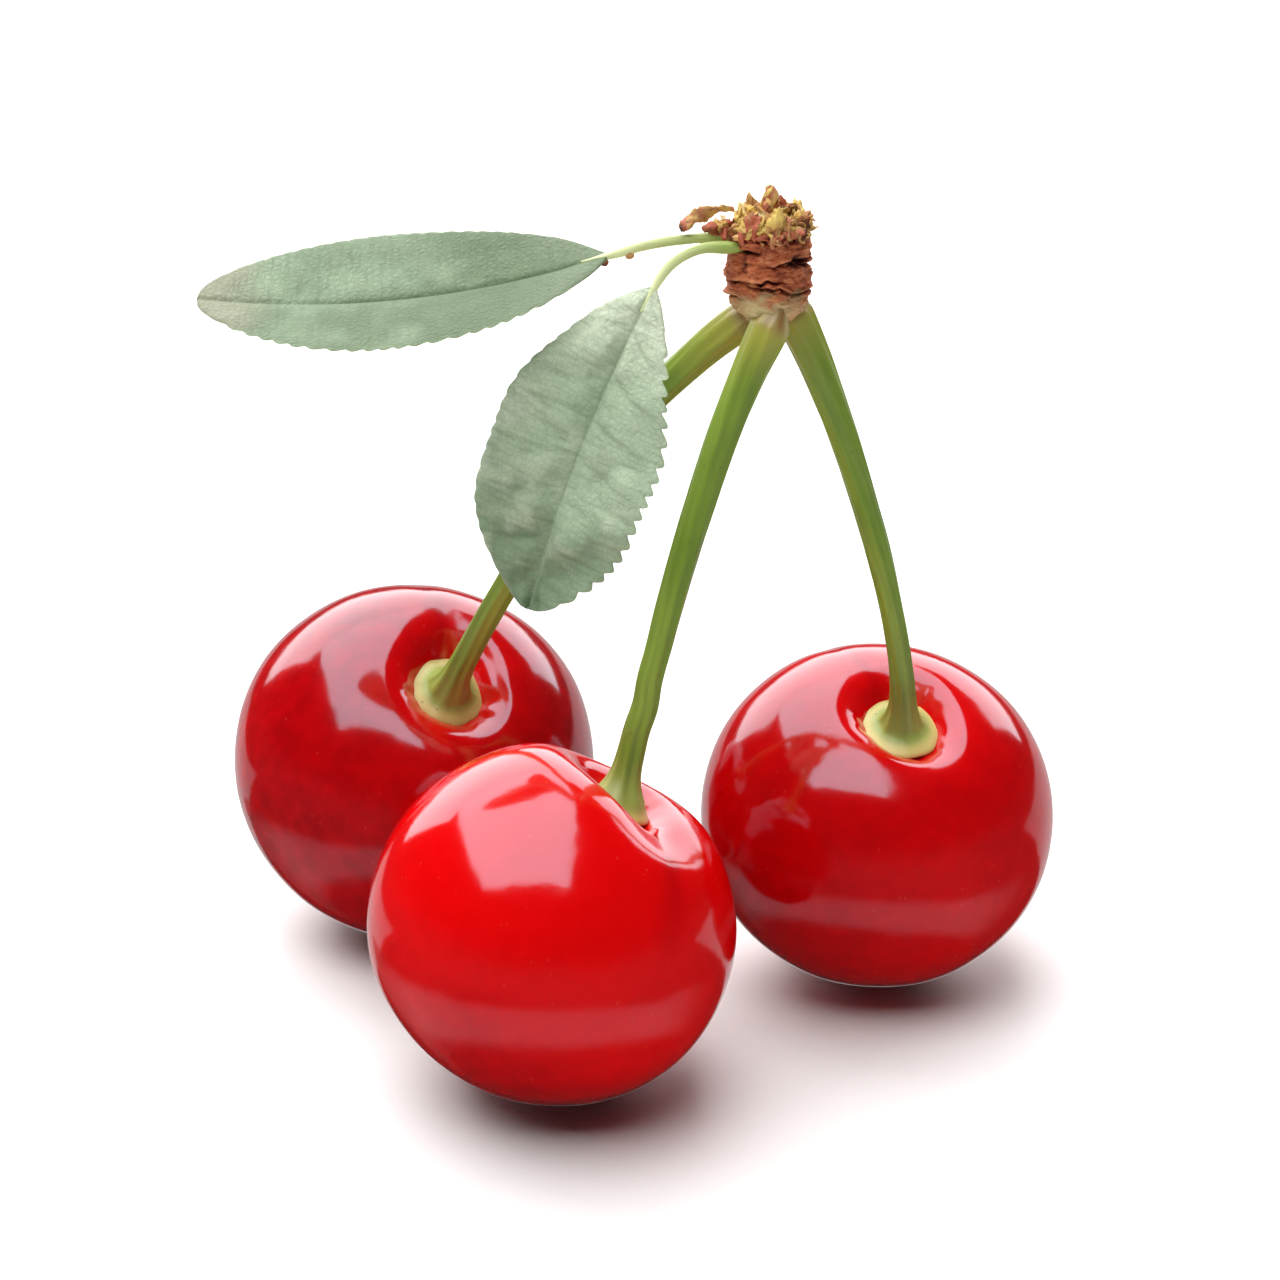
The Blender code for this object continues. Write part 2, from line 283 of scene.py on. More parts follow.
def shell_volume(points, quads, triangles):
    """Signed volume inside a closed shell, which is negative if its faces point in."""
    halves = np.concatenate([quads[:, :3], quads[:, [0, 2, 3]], triangles])
    a, b, c = (points[halves[:, n]] for n in range(3))
    return (a * np.cross(b, c)).sum() / 6


def new_mesh(name, points, faces, finish, marks=None):
    """A mesh of one finish, whose points are marked with named numbers or vectors."""
    mesh = bpy.data.meshes.new(name)
    mesh.from_pydata(points.reshape(-1, 3).tolist(), [], faces)
    for key, value in (marks or {}).items():
        kind, field = ("FLOAT_VECTOR", "vector") if value.shape[-1] == 3 else ("FLOAT", "value")
        layer = mesh.attributes.new(key, kind, "POINT")
        layer.data.foreach_set(field, value.astype(np.float32).ravel())
    mesh.materials.append(finish)
    return mesh


def shell_piece(name, grids, finish, nodes=(), marks=None, ends=None):
    """An object of one or more closed shells, each a grid of rings with a corner closing each end.

    grids has the shape shells, rows, columns, 3. marks are named numbers or vectors for each point
    of the grids. ends has the end corners, shells, 2, 3; without it each is the middle of its ring."""
    grids = np.asarray(grids, float)
    if grids.ndim == 3:
        grids = grids[None]
        ends = None if ends is None else np.asarray(ends)[None]
        marks = {key: np.asarray(value)[None] for key, value in (marks or {}).items()}
    shells, rows, columns = grids.shape[:3]
    if ends is None:
        ends = np.stack([grids[:, 0].mean(1), grids[:, -1].mean(1)], axis=1)
    points = np.concatenate([grids.reshape(shells, -1, 3), ends], axis=1)
    faces = []
    for number in range(shells):
        quads, triangles = shell_faces(rows, columns)
        if shell_volume(points[number] - points[number].mean(0), quads, triangles) < 0:
            quads, triangles = quads[:, ::-1], triangles[:, ::-1]
        skip = number * points.shape[1]
        faces += (quads + skip).tolist() + (triangles + skip).tolist()
    flat_marks = {}
    for key, value in (marks or {}).items():
        value = np.broadcast_to(value, grids.shape[:3] + np.shape(value)[3:])
        closing = np.stack([value[:, 0].mean(1), value[:, -1].mean(1)], axis=1)
        flat = np.concatenate([value.reshape((shells, rows * columns) + value.shape[3:]), closing], axis=1)
        flat_marks[key] = flat.reshape(-1, 3 if flat.ndim == 3 else 1)
    mesh = new_mesh(name, points, faces, finish, flat_marks)
    mesh.shade_smooth()
    piece = bpy.data.objects.new(name, mesh)
    bpy.context.scene.collection.objects.link(piece)
    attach(piece, "root")
    if nodes:
        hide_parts(*nodes)
    return piece


# --- Building materials ---------------------------------------------------------------------------


class Finish:
    """A material and short ways to add nodes to it."""

    def __init__(self, name):
        self.material = bpy.data.materials.new(name)
        self.material.use_nodes = True
        self.tree = self.material.node_tree
        self.shader = self.tree.nodes["Principled BSDF"]

    def join(self, socket, value):
        """Links a node's output to a socket, or sets the socket to a plain value."""
        if isinstance(value, bpy.types.NodeSocket):
            self.tree.links.new(value, socket)
        elif hasattr(value, "__len__") and len(value) == 3 and len(socket.default_value) == 4:
            socket.default_value = (*value, 1.0)
        else:
            socket.default_value = value

    def add(self, kind, inputs, **settings):
        """Adds a node with its settings and inputs."""
        node = self.tree.nodes.new(kind)
        for key, value in settings.items():
            setattr(node, key, value)
        for key, value in inputs.items():
            self.join(node.inputs[key], value)
        return node

    def place(self):
        return self.add("ShaderNodeTexCoord", {}).outputs["Object"]

    def mark(self, name, output="Fac"):
        """Reads what a piece's points are marked with."""
        return self.add("ShaderNodeAttribute", {}, attribute_name=name).outputs[output]

    def stretch(self, place, scale):
        return self.add("ShaderNodeMapping", {"Vector": place, "Scale": scale}).outputs[0]

    def noise(self, place, scale, detail=3.0, roughness=0.55):
        inputs = {"Vector": place, "Scale": scale, "Detail": detail, "Roughness": roughness}
        return self.add("ShaderNodeTexNoise", inputs).outputs["Fac"]

    def cells(self, place, scale, feature="F1"):
        inputs = {"Vector": place, "Scale": scale}
        return self.add("ShaderNodeTexVoronoi", inputs, feature=feature).outputs["Distance"]

    def span(self, value, low, high, to_low=0.0, to_high=1.0):
        inputs = {"Value": value, "From Min": low, "From Max": high, "To Min": to_low, "To Max": to_high}
        return self.add("ShaderNodeMapRange", inputs).outputs[0]

    def math(self, operation, first, second):
        return self.add("ShaderNodeMath", {0: first, 1: second}, operation=operation).outputs[0]

    def mix(self, share, first, second):
        inputs = {0: share, 6: first, 7: second}
        return self.add("ShaderNodeMix", inputs, data_type="RGBA").outputs[2]

    def tinge(self, share, strength, first, second):
        """Mixes in the second colour by a share of a strength."""
        return self.mix(self.math("MULTIPLY", share, strength), first, second)

    def ramp(self, share, stops):
        node = self.add("ShaderNodeValToRGB", {"Fac": share})
        elements = node.color_ramp.elements
        while len(elements) < len(stops):
            elements.new(0.5)
        for element, (position, colour) in zip(elements, stops):
            element.position = position
            element.color = (*colour, 1.0)
        return node.outputs[0]

    def bump(self, height, distance, below=None):
        inputs = {"Height": height, "Distance": distance, "Strength": 1.0}
        if below is not None:
            inputs["Normal"] = below
        return self.add("ShaderNodeBump", inputs).outputs[0]

    def surface(self, **inputs):
        """Sets the shader's sockets, named with _ for each space, and gives the material."""
        for key, value in inputs.items():
            self.join(self.shader.inputs[key.replace("_", " ")], value)
        return self.material


def cherry_finish(settings):
    """Wet-looking red skin: patches of ripeness over a deeper red, a deeper red painted as shade on each
    fruit's underside and lower left front, pale pinpricks, and a brown scar at the tip.
    """
    skin = Finish("cherry_skin")
    place = skin.place()
    patch = skin.span(skin.noise(place, 95.0, 2.0), 0.3, 0.7, -0.18, 0.18)
    # The mark holds each fruit's ripeness and its painted shade: the red deepens towards the fruit's underside
    # and its lower left front.
    ripe = skin.math("ADD", skin.mark("ripe"), patch)
    red = skin.mix(skin.span(ripe, 0.0, 1.0), settings.deep_red, settings.skin_red)
    fine = skin.span(skin.noise(place, 900.0, 4.0), 0.35, 0.75)
    red = skin.tinge(fine, 0.25, red, settings.bright_red)
    red = skin.tinge(skin.mark("hollow"), 0.85, red, settings.bright_red)
    red = skin.tinge(skin.mark("suture"), 0.5, red, settings.deep_red)
    dots = skin.span(skin.cells(place, 1500.0), 0.10, 0.16, 1.0, 0.0)
    some = skin.span(skin.noise(place, 500.0, 1.0), 0.52, 0.60)
    dots = skin.math("MULTIPLY", dots, some)
    red = skin.tinge(dots, 0.16, red, tint(225, 95, 70))
    red = skin.mix(skin.mark("scar"), red, tint(96, 52, 30))
    waves = skin.bump(skin.noise(place, 260.0, 2.0), 0.00006)
    grain = skin.bump(skin.noise(place, 2600.0, 3.0), 0.000004, below=waves)
    return skin.surface(
        Base_Color=red,
        Normal=grain,
        Roughness=0.12,
        IOR=1.72,
        Specular_Tint=(0.35, 0.84, 1.0, 1.0),
        Subsurface_Weight=0.12,
        Subsurface_Radius=(1.0, 0.18, 0.10),
        Subsurface_Scale=0.0012,
    )


def stalk_finish(settings):
    """Green stalk with fine lengthwise streaks, pale at its foot and browner where it joins the spur."""
    stalk = Finish("stalk_green")
    rod = stalk.mark("rod", "Vector")
    height = stalk.mark("height")
    streak = stalk.span(stalk.noise(stalk.stretch(rod, (1.0, 1.0, 0.07)), 2600.0, 4.0), 0.32, 0.68)
    broad = stalk.span(stalk.noise(stalk.stretch(rod, (1.0, 1.0, 0.25)), 420.0, 2.0), 0.35, 0.65)
    green = stalk.mix(broad, settings.green, settings.pale_green)
    green = stalk.tinge(streak, 0.45, green, settings.dark_green)
    foot = stalk.span(stalk.math("ADD", height, stalk.span(streak, 0, 1, -0.02, 0.02)), 0.03, 0.12, 0.55, 0.0)
    green = stalk.mix(foot, green, settings.foot)
    green = stalk.mix(stalk.mark("collar"), green, settings.collar_rim)
    top = stalk.span(stalk.math("ADD", height, stalk.span(broad, 0, 1, -0.03, 0.03)), 0.84, 1.0)
    green = stalk.tinge(top, 0.75, green, settings.top)
    blush = stalk.mark("blush")
    green = stalk.mix(blush, green, tint(124, 82, 34))
    specks = stalk.span(stalk.cells(stalk.place(), 1500.0), 0.07, 0.13, 0.5, 0.0)
    specks = stalk.math("MULTIPLY", specks, stalk.span(stalk.noise(stalk.place(), 420.0, 1.0), 0.5, 0.58))
    green = stalk.mix(specks, green, tint(96, 66, 26))
    green = stalk.mix(stalk.mark("bark"), green, stalk.mix(streak, tint(184, 166, 108), tint(140, 104, 60)))
    ridges = stalk.bump(streak, 0.00004)
    return stalk.surface(
        Base_Color=green,
        Normal=ridges,
        Roughness=stalk.span(streak, 0, 1, 0.36, 0.5),
        Coat_Weight=0.25,
        Coat_Roughness=0.25,
        Subsurface_Weight=0.15,
        Subsurface_Radius=(0.6, 1.0, 0.2),
        Subsurface_Scale=0.0004,
    )


def bark_finish(settings):
    """Ringed bark: red-brown plates, painted shade in the creases, the notch and the low spots, dusty raised
    edges and a pale patch by the stalks.
    """
    bark = Finish("spur_bark")
    place = bark.place()
    patch = bark.span(bark.noise(place, 700.0, 4.0, 0.6), 0.3, 0.7)
    brown = bark.mix(patch, settings.bark, settings.bark_light)
    grain = bark.noise(bark.stretch(place, (1.0, 1.0, 3.0)), 2200.0, 5.0, 0.65)
    brown = bark.mix(bark.span(grain, 0.5, 0.72, 0.0, 0.7), brown, settings.bark_dust)
    # Painted shade: the crevice colour darkens the low spots of the fine grain, and then the creases and the
    # notch that the mark gives.
    brown = bark.mix(bark.span(grain, 0.46, 0.3, 0.0, 0.6), brown, settings.crevice_shade)
    brown = bark.mix(bark.mark("crevice_shade"), brown, settings.crevice_shade)
    brown = bark.mix(bark.mark("raised"), brown, settings.bark_dust)
    brown = bark.mix(bark.mark("pale"), brown, settings.patch)
    rough = bark.bump(grain, 0.00012)
    return bark.surface(Base_Color=brown, Normal=rough, Roughness=0.72, Specular_IOR_Level=0.35)


def scale_finish(settings):
    """Dry crumbling scales, each in its own mix of straw yellow, olive, brown and red."""
    dry = Finish("bud_scales")
    place = dry.place()
    own = dry.mark("own")
    colour = dry.ramp(
        dry.math("ADD", own, dry.span(dry.noise(place, 1500.0, 4.0, 0.65), 0.25, 0.75, -0.22, 0.22)),
        [
            (0.02, tint(92, 48, 24)),
            (0.18, tint(172, 96, 62)),
            (0.34, settings.scale_red),
            (0.48, settings.scale_brown),
            (0.64, settings.scale_straw),
            (0.82, settings.scale_yellow),
            (0.98, tint(226, 204, 150)),
        ],
    )
    grain = dry.noise(place, 3600.0, 4.0, 0.6)
    colour = dry.mix(dry.span(grain, 0.42, 0.3, 0.0, 0.55), colour, tint(88, 46, 20))
    return dry.surface(Base_Color=colour, Normal=dry.bump(grain, 0.0001), Roughness=0.66)


def blade_finish(settings):
    """Matt leaf: grey-green tissue in small cells, paler near its stalk and tip, with fine dark veins, and a
    darker green painted as shade in low spots.
    """
    leaf = Finish("leaf_blade")
    sheet = leaf.mark("sheet", "Vector")
    place = leaf.place()
    cloud = leaf.span(leaf.noise(place, 330.0, 4.0, 0.6), 0.3, 0.7)
    green = leaf.mix(cloud, settings.leaf_dark, settings.leaf_green)
    # The deep mark is a darker green for the leaf's own tone and for painted shade in low spots and on the left
    # leaf's nearer half.
    green = leaf.mix(leaf.mark("deep"), green, leaf.mix(cloud, tint(74, 98, 64), settings.leaf_deep))
    green = leaf.mix(leaf.mark("pale"), green, settings.leaf_pale)
    green = leaf.mix(leaf.mark("tip"), green, settings.leaf_tip)
    net = leaf.cells(sheet, 2700.0, feature="DISTANCE_TO_EDGE")
    mesh = leaf.span(net, 0.0, 0.13, 1.0, 0.0)
    streak = leaf.span(leaf.noise(leaf.stretch(sheet, (0.22, 1.5, 1.0)), 2300.0, 3.0, 0.6), 0.45, 0.72)
    green = leaf.tinge(streak, 0.30, green, settings.leaf_vein)
    green = leaf.tinge(mesh, 0.16, green, settings.leaf_vein)
    green = leaf.tinge(leaf.mark("vein"), 0.55, green, settings.leaf_vein)
    green = leaf.mix(leaf.mark("rim"), green, settings.leaf_rim)
    puffed = leaf.bump(leaf.span(net, 0.0, 0.35), 0.00003)
    velvet = leaf.bump(leaf.noise(place, 2200.0, 5.0, 0.65), 0.00006, below=puffed)
    return leaf.surface(
        Base_Color=green,
        Normal=velvet,
        Roughness=0.58,
        Specular_IOR_Level=0.4,
        Sheen_Weight=0.12,
        Sheen_Roughness=0.5,
    )


def leaf_stalk_finish(settings):
    """Pale yellow-green leaf stalk, greener towards the spur."""
    stalk = Finish("leaf_stalk")
    rod = stalk.mark("rod", "Vector")
    streak = stalk.span(stalk.noise(stalk.stretch(rod, (1.0, 1.0, 0.1)), 3000.0, 3.0), 0.35, 0.65)
    pale = stalk.mix(stalk.mark("height"), settings.petiole_base, settings.petiole)
    pale = stalk.tinge(streak, 0.3, pale, tint(150, 160, 90))
    return stalk.surface(Base_Color=pale, Normal=stalk.bump(streak, 0.00003), Roughness=0.5)


# --- Sizes and colours a user can change ----------------------------------------------------------


def colour_property(name, description, colour):
    return FloatVectorProperty(
        name=name, description=description, default=colour, subtype="COLOR", size=3, min=0, max=1
    )


def length_property(name, description, value, highest):
    return FloatProperty(
        name=name, description=description, default=value, min=0, max=highest, unit="LENGTH", precision=5
    )


def radii_property(name, description, value, highest):
    description += ", in fruit radii"
    return FloatProperty(name=name, description=description, default=value, min=0, max=highest)


def count_property(name, description, value, lowest, highest):
    return IntProperty(name=name, description=description, default=value, min=lowest, max=highest)


def brightness_property(name, description, value):
    return FloatProperty(name=name, description=description, default=value, min=0)


class CherrySettings(bpy.types.PropertyGroup):
    """Skin colours and surface relief of the fruits."""

    skin_red: colour_property("Skin red", "Colour of the ripe skin", tint(220, 1, 2))
    # Deep red also paints the shade on each fruit's underside and lower left front.
    deep_red: colour_property("Deep red", "Colour of the darker patches", tint(140, 0, 6))
    bright_red: colour_property("Bright red", "Colour inside the hollow round the stalk", tint(240, 6, 8))
    hollow_depth: radii_property("Hollow depth", "Depth of the hollow round the stalk", 0.32, 0.5)
    hollow_width: radii_property("Hollow width", "Half width of the hollow round the stalk", 0.235, 0.5)
    suture_depth: radii_property("Suture depth", "Depth of the seam down one side", 0.012, 0.05)
    rows: count_property("Rows", "Rings of points from the stalk to the tip", 170, 40, 240)
    columns: count_property("Columns", "Points in each ring", 220, 40, 360)


class StalkSettings(bpy.types.PropertyGroup):
    """Colours and relief of the stalks."""

    green: colour_property("Green", "Main colour", tint(114, 144, 36))
    pale_green: colour_property("Pale green", "Colour of the lighter patches", tint(146, 168, 62))
    dark_green: colour_property("Dark green", "Colour of the fine streaks", tint(92, 116, 30))
    foot: colour_property("Foot", "Colour just over the fruit's hollow", tint(176, 190, 104))
    collar_rim: colour_property("Collar rim", "Colour of the collar in the fruit's hollow", tint(222, 208, 128))
    top: colour_property("Top", "Colour where the stalk joins the spur", tint(166, 156, 60))
    ridge_depth: length_property("Ridge depth", "Height of the lengthwise ridges", 0.00004, 0.0002)
    collar: length_property("Collar", "How far the foot's collar stands out", 0.00035, 0.001)


class SpurSettings(bpy.types.PropertyGroup):
    """Colours and relief of the woody spur, its bud and its dry scales."""

    bark: colour_property("Bark", "Main colour of the bark", tint(142, 60, 28))
    bark_light: colour_property("Light bark", "Colour of the lighter bark", tint(176, 90, 48))
    bark_dust: colour_property("Dusty bark", "Colour of worn raised edges", tint(216, 146, 98))
    # Painted shade colour for the bark's creases, notch and low spots.
    crevice_shade: colour_property("Crevice", "Colour in the crevices", tint(72, 20, 12))
    patch: colour_property("Pale patch", "Colour of the swelling over the stalks", tint(196, 178, 128))
    scale_red: colour_property("Scale red", "Reddest bits of the crown", tint(176, 76, 52))
    scale_brown: colour_property("Scale brown", "Brown bits of the crown", tint(178, 122, 78))
    scale_straw: colour_property("Scale straw", "Straw-coloured bits of the crown", tint(202, 162, 90))
    scale_yellow: colour_property("Scale yellow", "Yellowest bits of the crown", tint(224, 194, 96))
    ring_depth: length_property("Ring depth", "Depth of the creases between layers of bark", 0.00030, 0.0006)
    crumbs: count_property("Crumbs", "Bits of dry scale in the crown", 340, 20, 500)


class LeafSettings(bpy.types.PropertyGroup):
    """Colours and relief of the two small leaves."""

    leaf_green: colour_property("Leaf green", "Main colour", tint(166, 186, 156))
    leaf_dark: colour_property("Dark leaf green", "Colour of the darker patches", tint(136, 160, 128))
    # Deep leaf green also paints the shade in the leaves' low spots and on the left leaf's nearer half.
    leaf_deep: colour_property("Deep leaf green", "Colour of the darkest parts", tint(88, 110, 72))
    leaf_pale: colour_property("Pale leaf green", "Colour near the stalk", tint(204, 214, 188))
    leaf_tip: colour_property("Leaf tip", "Colour at the left leaf's tip", tint(150, 150, 126))
    leaf_vein: colour_property("Vein", "Colour of the veins", tint(62, 86, 46))
    leaf_rim: colour_property("Rim", "Colour of the teeth", tint(146, 160, 118))
    petiole: colour_property("Leaf stalk", "Colour of the leaf stalks by their blades", tint(226, 232, 176))
    petiole_base: colour_property("Leaf stalk base", "Their colour by the spur", tint(146, 168, 76))
    thickness: length_property("Thickness", "Thickness of the blades", 0.00018, 0.0005)
    pucker: length_property("Pucker", "Height of the puckers between the veins", 0.00022, 0.0006)
    tooth: length_property("Tooth", "Depth of the teeth along the edge", 0.00028, 0.001)


class StageSettings(bpy.types.PropertyGroup):
    """Floor, lamps and camera."""

    floor: colour_property("Floor", "Colour of the floor", (0.9, 0.9, 0.895))
    overhead: brightness_property("Overhead lamp", "Brightness of the large lamp overhead", 4.0)
    behind: brightness_property("Lamp behind", "Brightness of the panel behind", 3.4)
    low_front: brightness_property("Low front shine", "Brightness reflected low on the front", 0.42)
    low_back: brightness_property("Low back shine", "Brightness reflected low at the edges", 0.55)
    surround: brightness_property("Surround", "Brightness of the dark room around", 0.025)
    lens: FloatProperty(name="Lens", description="Focal length, in millimetres", default=100.0, min=20)


GROUPS = {
    "sprig_cherries": CherrySettings,
    "sprig_stalks": StalkSettings,
    "sprig_spur": SpurSettings,
    "sprig_leaves": LeafSettings,
    "sprig_stage": StageSettings,
}


# --- Cherries -------------------------------------------------------------------------------------

FLATNESS = 0.95  # a fruit's height against its width
UNEVENNESS = 0.011  # height of a fruit's broad waves, in radii

# Each fruit's node, the turn of its seam from the front towards the right, the swell of its two
# shoulders and the depth of the notch between them, the seed of its slight unevenness, and how
# bright its red is.
CHERRIES = {
    "left_cherry": ("cherry_left", np.radians(200), (0.012, 0.012, 0.02), 3, 0.25),
    "front_cherry": ("cherry_front", np.radians(28), (0.055, 0.03, 0.06), 11, 1.0),
    "right_cherry": ("cherry_right", np.radians(-150), (0.012, 0.012, 0.02), 23, 0.6),
}


def cherry_shape(down, turn, seam, swell, seed, settings):
    """Distance out from the axis and height along it, in radii, and the marks of a fruit's skin.

    down runs from 0 at the stalk to pi at the tip, and turn runs round. Out is the sine of down, and
    up is its cosine times the flatness, less a pit in a shallow dish at the stalk. Two low shoulders stand
    beside the seam, with a notch between them in the hollow's rim, and the seam runs down from the
    notch as a narrow groove. Broad noise makes it slightly uneven."""
    share = np.sin(down)
    upper = rise(np.cos(down), 0.0, 0.25)
    from_seam = np.angle(np.exp(1j * (turn - seam)))
    ball = unit_ball(down, turn)
    uneven = lattice_noise(ball * 1.3 + 5.1, seed) + 0.45 * lattice_noise(ball * 2.9 + 2.7, seed + 1)
    width = settings.hollow_width * (1 + 0.10 * np.cos(2 * from_seam) + 0.05 * np.cos(3 * turn + seed))
    hollow = 0.72 * np.exp(-((share / width) ** 2.8)) + 0.28 * np.exp(-((share / 0.44) ** 2.2))
    folds = hump(share, 0.21, 0.07) * np.cos(9 * turn + 2.2 * np.sin(3 * turn + seed)) * 0.004
    beside = [hump(np.angle(np.exp(1j * (from_seam - way))), 0, 1.05) for way in (-1.75, 1.45)]
    shoulders = (swell[0] * beside[0] + swell[1] * beside[1]) * hump(share, 0.48, 0.25)
    shoulders = shoulders - swell[2] * hump(from_seam, 0, 0.5) * hump(share, 0.42, 0.2)
    groove = np.exp(-((from_seam / 0.10) ** 2)) * share**0.7 * rise(share, 0.1, 0.4)
    lips = np.exp(-((from_seam / 0.34) ** 2)) * share**0.7
    scar = np.where(np.cos(down) < 0, np.exp(-((share / 0.055) ** 2)), 0.0)
    dimple = np.where(np.cos(down) < 0, np.exp(-((share / 0.16) ** 2)), 0.0)
    seam_depth = settings.suture_depth * (0.25 + 0.75 * rise(np.cos(down), 0.3, 0.8))
    swelling = 1 + UNEVENNESS * uneven - seam_depth * (groove - 0.35 * lips)
    out = share * swelling
    up = FLATNESS * np.cos(down) * (1 + UNEVENNESS * uneven)
    up = up - upper * (settings.hollow_depth * hollow - folds) + upper * shoulders
    up = up + 0.022 * dimple + 0.008 * scar
    marks = {
        "hollow": upper * np.exp(-((share / 0.36) ** 2)),
        "suture": groove * rise(np.cos(down) + 0 * turn, 0.2, 0.8),
        "scar": scar + 0 * turn,
    }
    return out, up, marks


def cherry(name, node, seam, swell, seed, bright, settings, finish):
    middle, axis, radius = fruit_frame(node)
    down = (np.pi * np.linspace(0, 1, settings.rows + 2)[1:-1] ** 1.28)[:, None]
    turn = whole_turn(settings.columns)
    out, up, marks = cherry_shape(down, turn, seam, swell, seed, settings)
    front, right = across(axis, TO_FRONT)
    ring = np.cos(turn)[..., None] * front + np.sin(turn)[..., None] * right
    points = middle + radius * (out[..., None] * ring + up[..., None] * axis)
    facing = unit(points - middle)
    # Painted shade: the red is made deeper on the side facing down, left and to the front, and on the
    # underside.
    painted_shade_side = facing @ unit(np.array([-0.75, -0.30, -0.60]))
    marks["ripe"] = bright * (1 - 0.6 * rise(painted_shade_side, 0.1, 0.95)) * (1 - 0.55 * rise(-facing[..., 2], 0.2, 0.95))
    ends = np.stack([middle + radius * up[0].mean() * axis, middle + radius * up[-1].mean() * axis])
    sunk = UP * min(points[..., 2].min(), 0.0)
    shell_piece(name, points - sunk, finish, (node,), marks, ends - sunk)


class SPRIG_OT_cherries(bpy.types.Operator):
    """Makes the three fruits: uneven balls with a hollow, two shoulders, a seam and a scar at the tip"""

    bl_idname = "sprig.cherries"
    bl_label = "Cherries"

    def execute(self, context):
        settings = context.scene.sprig_cherries
        finish = cherry_finish(settings)
        for name, row in CHERRIES.items():
            cherry(name, *row, settings, finish)
        return {"FINISHED"}


# --- Stalks ---------------------------------------------------------------------------------------

RUN_ON = 1.7 * MM  # how far a stalk runs on into the bark
FOOT_DEPTH = 0.9 * MM  # how far a stalk's foot reaches into its fruit

# Each stalk's node and fruit, how slim its shaft is against the node's, how far its foot's collar
# stands up and out, the brown blush over its foot, and a seed.
STALKS = {
    "left_stalk": ("stem_left", "cherry_left", 0.88, 0.9, 0.40, 4),
    "front_stalk": ("stem_front", "cherry_front", 0.88, 0.25, 0.10, 8),
    "right_stalk": ("stem_right", "cherry_right", 0.80, 1.0, 0.25, 15),
}


def stalk(name, node, fruit, slim, brim, blush, seed, settings, finish):
    """A stalk: a ring of eight low ridges carried along the node's middle line.

    The radius is the shaft's own, plus bell curves for the foot's flare and its scalloped collar,
    plus a swelling with the cube of the height towards the spur, where the stalk runs on and
    narrows into the bark."""
    line = Line(node, fruit_frame(fruit)[0])
    shaft, foot, head = line.half_width.min() * slim, line.half_width[0], line.half_width[-1] * 0.95
    length = line.length
    top = length + RUN_ON
    at = np.concatenate([np.linspace(-FOOT_DEPTH, 2.4 * MM, 60), np.linspace(2.5 * MM, top, 150)])[:, None]
    turn = whole_turn(56)
    share = np.clip(at / length, 0, 1)
    twist = turn + 1.6 * share
    wander = lattice_noise(unit_barrel(turn, at / (3 * MM)), seed)
    ridges = settings.ridge_depth * (np.cos(8 * twist) + 0.6 * np.cos(5 * twist + 1 + seed))
    scallops = 1 + 0.13 * np.cos(5 * turn + seed) + 0.09 * np.cos(9 * turn + 2 * seed)
    flare = (0.8 - 0.3 * brim) * (foot - shaft) * hump(np.maximum(at, 0), 0, 1.3 * MM)
    neck = 0.25 * shaft * hump(np.maximum(at, 0), 0, 3.0 * MM)
    collar = brim * (0.5 * (foot - shaft) + settings.collar * scallops) * hump(at, 0.30 * brim * MM, 0.30 * MM)
    swollen = (head - shaft) * share**3
    radius = shaft + flare + neck + collar + swollen + ridges * rise(at, 0.2 * MM, 1.2 * MM)
    radius = radius * (1 + 0.035 * wander)
    radius = radius * (1 - 0.75 * rise(-at, -0.05 * MM, FOOT_DEPTH))
    radius = radius * (1 - 0.68 * rise(at, length - 0.3 * MM, top))
    rod = np.stack([shaft * np.cos(twist) + 0 * at, shaft * np.sin(twist) + 0 * at, at + 0 * turn], axis=-1)
    marks = {
        "rod": rod,
        "height": share + 0 * turn,
        "collar": rise(radius, 1.35 * MM, 1.95 * MM) * hump(at, 0.3 * MM, 0.6 * MM),
        "bark": rise(at + 0.25 * MM * wander, length - 0.5 * MM, length + 0.5 * MM),
        "blush": blush * rise(lattice_noise(rod / (1.5 * MM), seed + 5), -0.2, 0.5) * hump(share, 0.10, 0.14),
    }
    shell_piece(name, tube(line, at, turn, radius), finish, (node,), marks)


class SPRIG_OT_stalks(bpy.types.Operator):
    """Makes the three stalks: ridged rods with a scalloped collar in each fruit's hollow"""

    bl_idname = "sprig.stalks"
    bl_label = "Stalks"

    def execute(self, context):
        settings = context.scene.sprig_stalks
        finish = stalk_finish(settings)
        for name, row in STALKS.items():
            stalk(name, *row, settings, finish)
        return {"FINISHED"}


# --- Spur and crown -------------------------------------------------------------------------------

RING_COUNT = 7  # layers of bark
SPUR_DROP = 0.22  # how far the bark reaches down over the stalks, in heights of the spur
CROWN_HEIGHT = 1.95 * MM  # of the heap of crumbs
CROWN_REACH = 1.25  # how far the heap's slope would reach from its peak, in radii of the spur


def spur_size():
    """The middle of the spur's foot, its radius and its height."""
    low, high = (np.array(corner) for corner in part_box("spur"))
    return np.array([*(low + high)[:2] / 2, low[2]]), (high - low)[0] / 2, (high - low)[2]


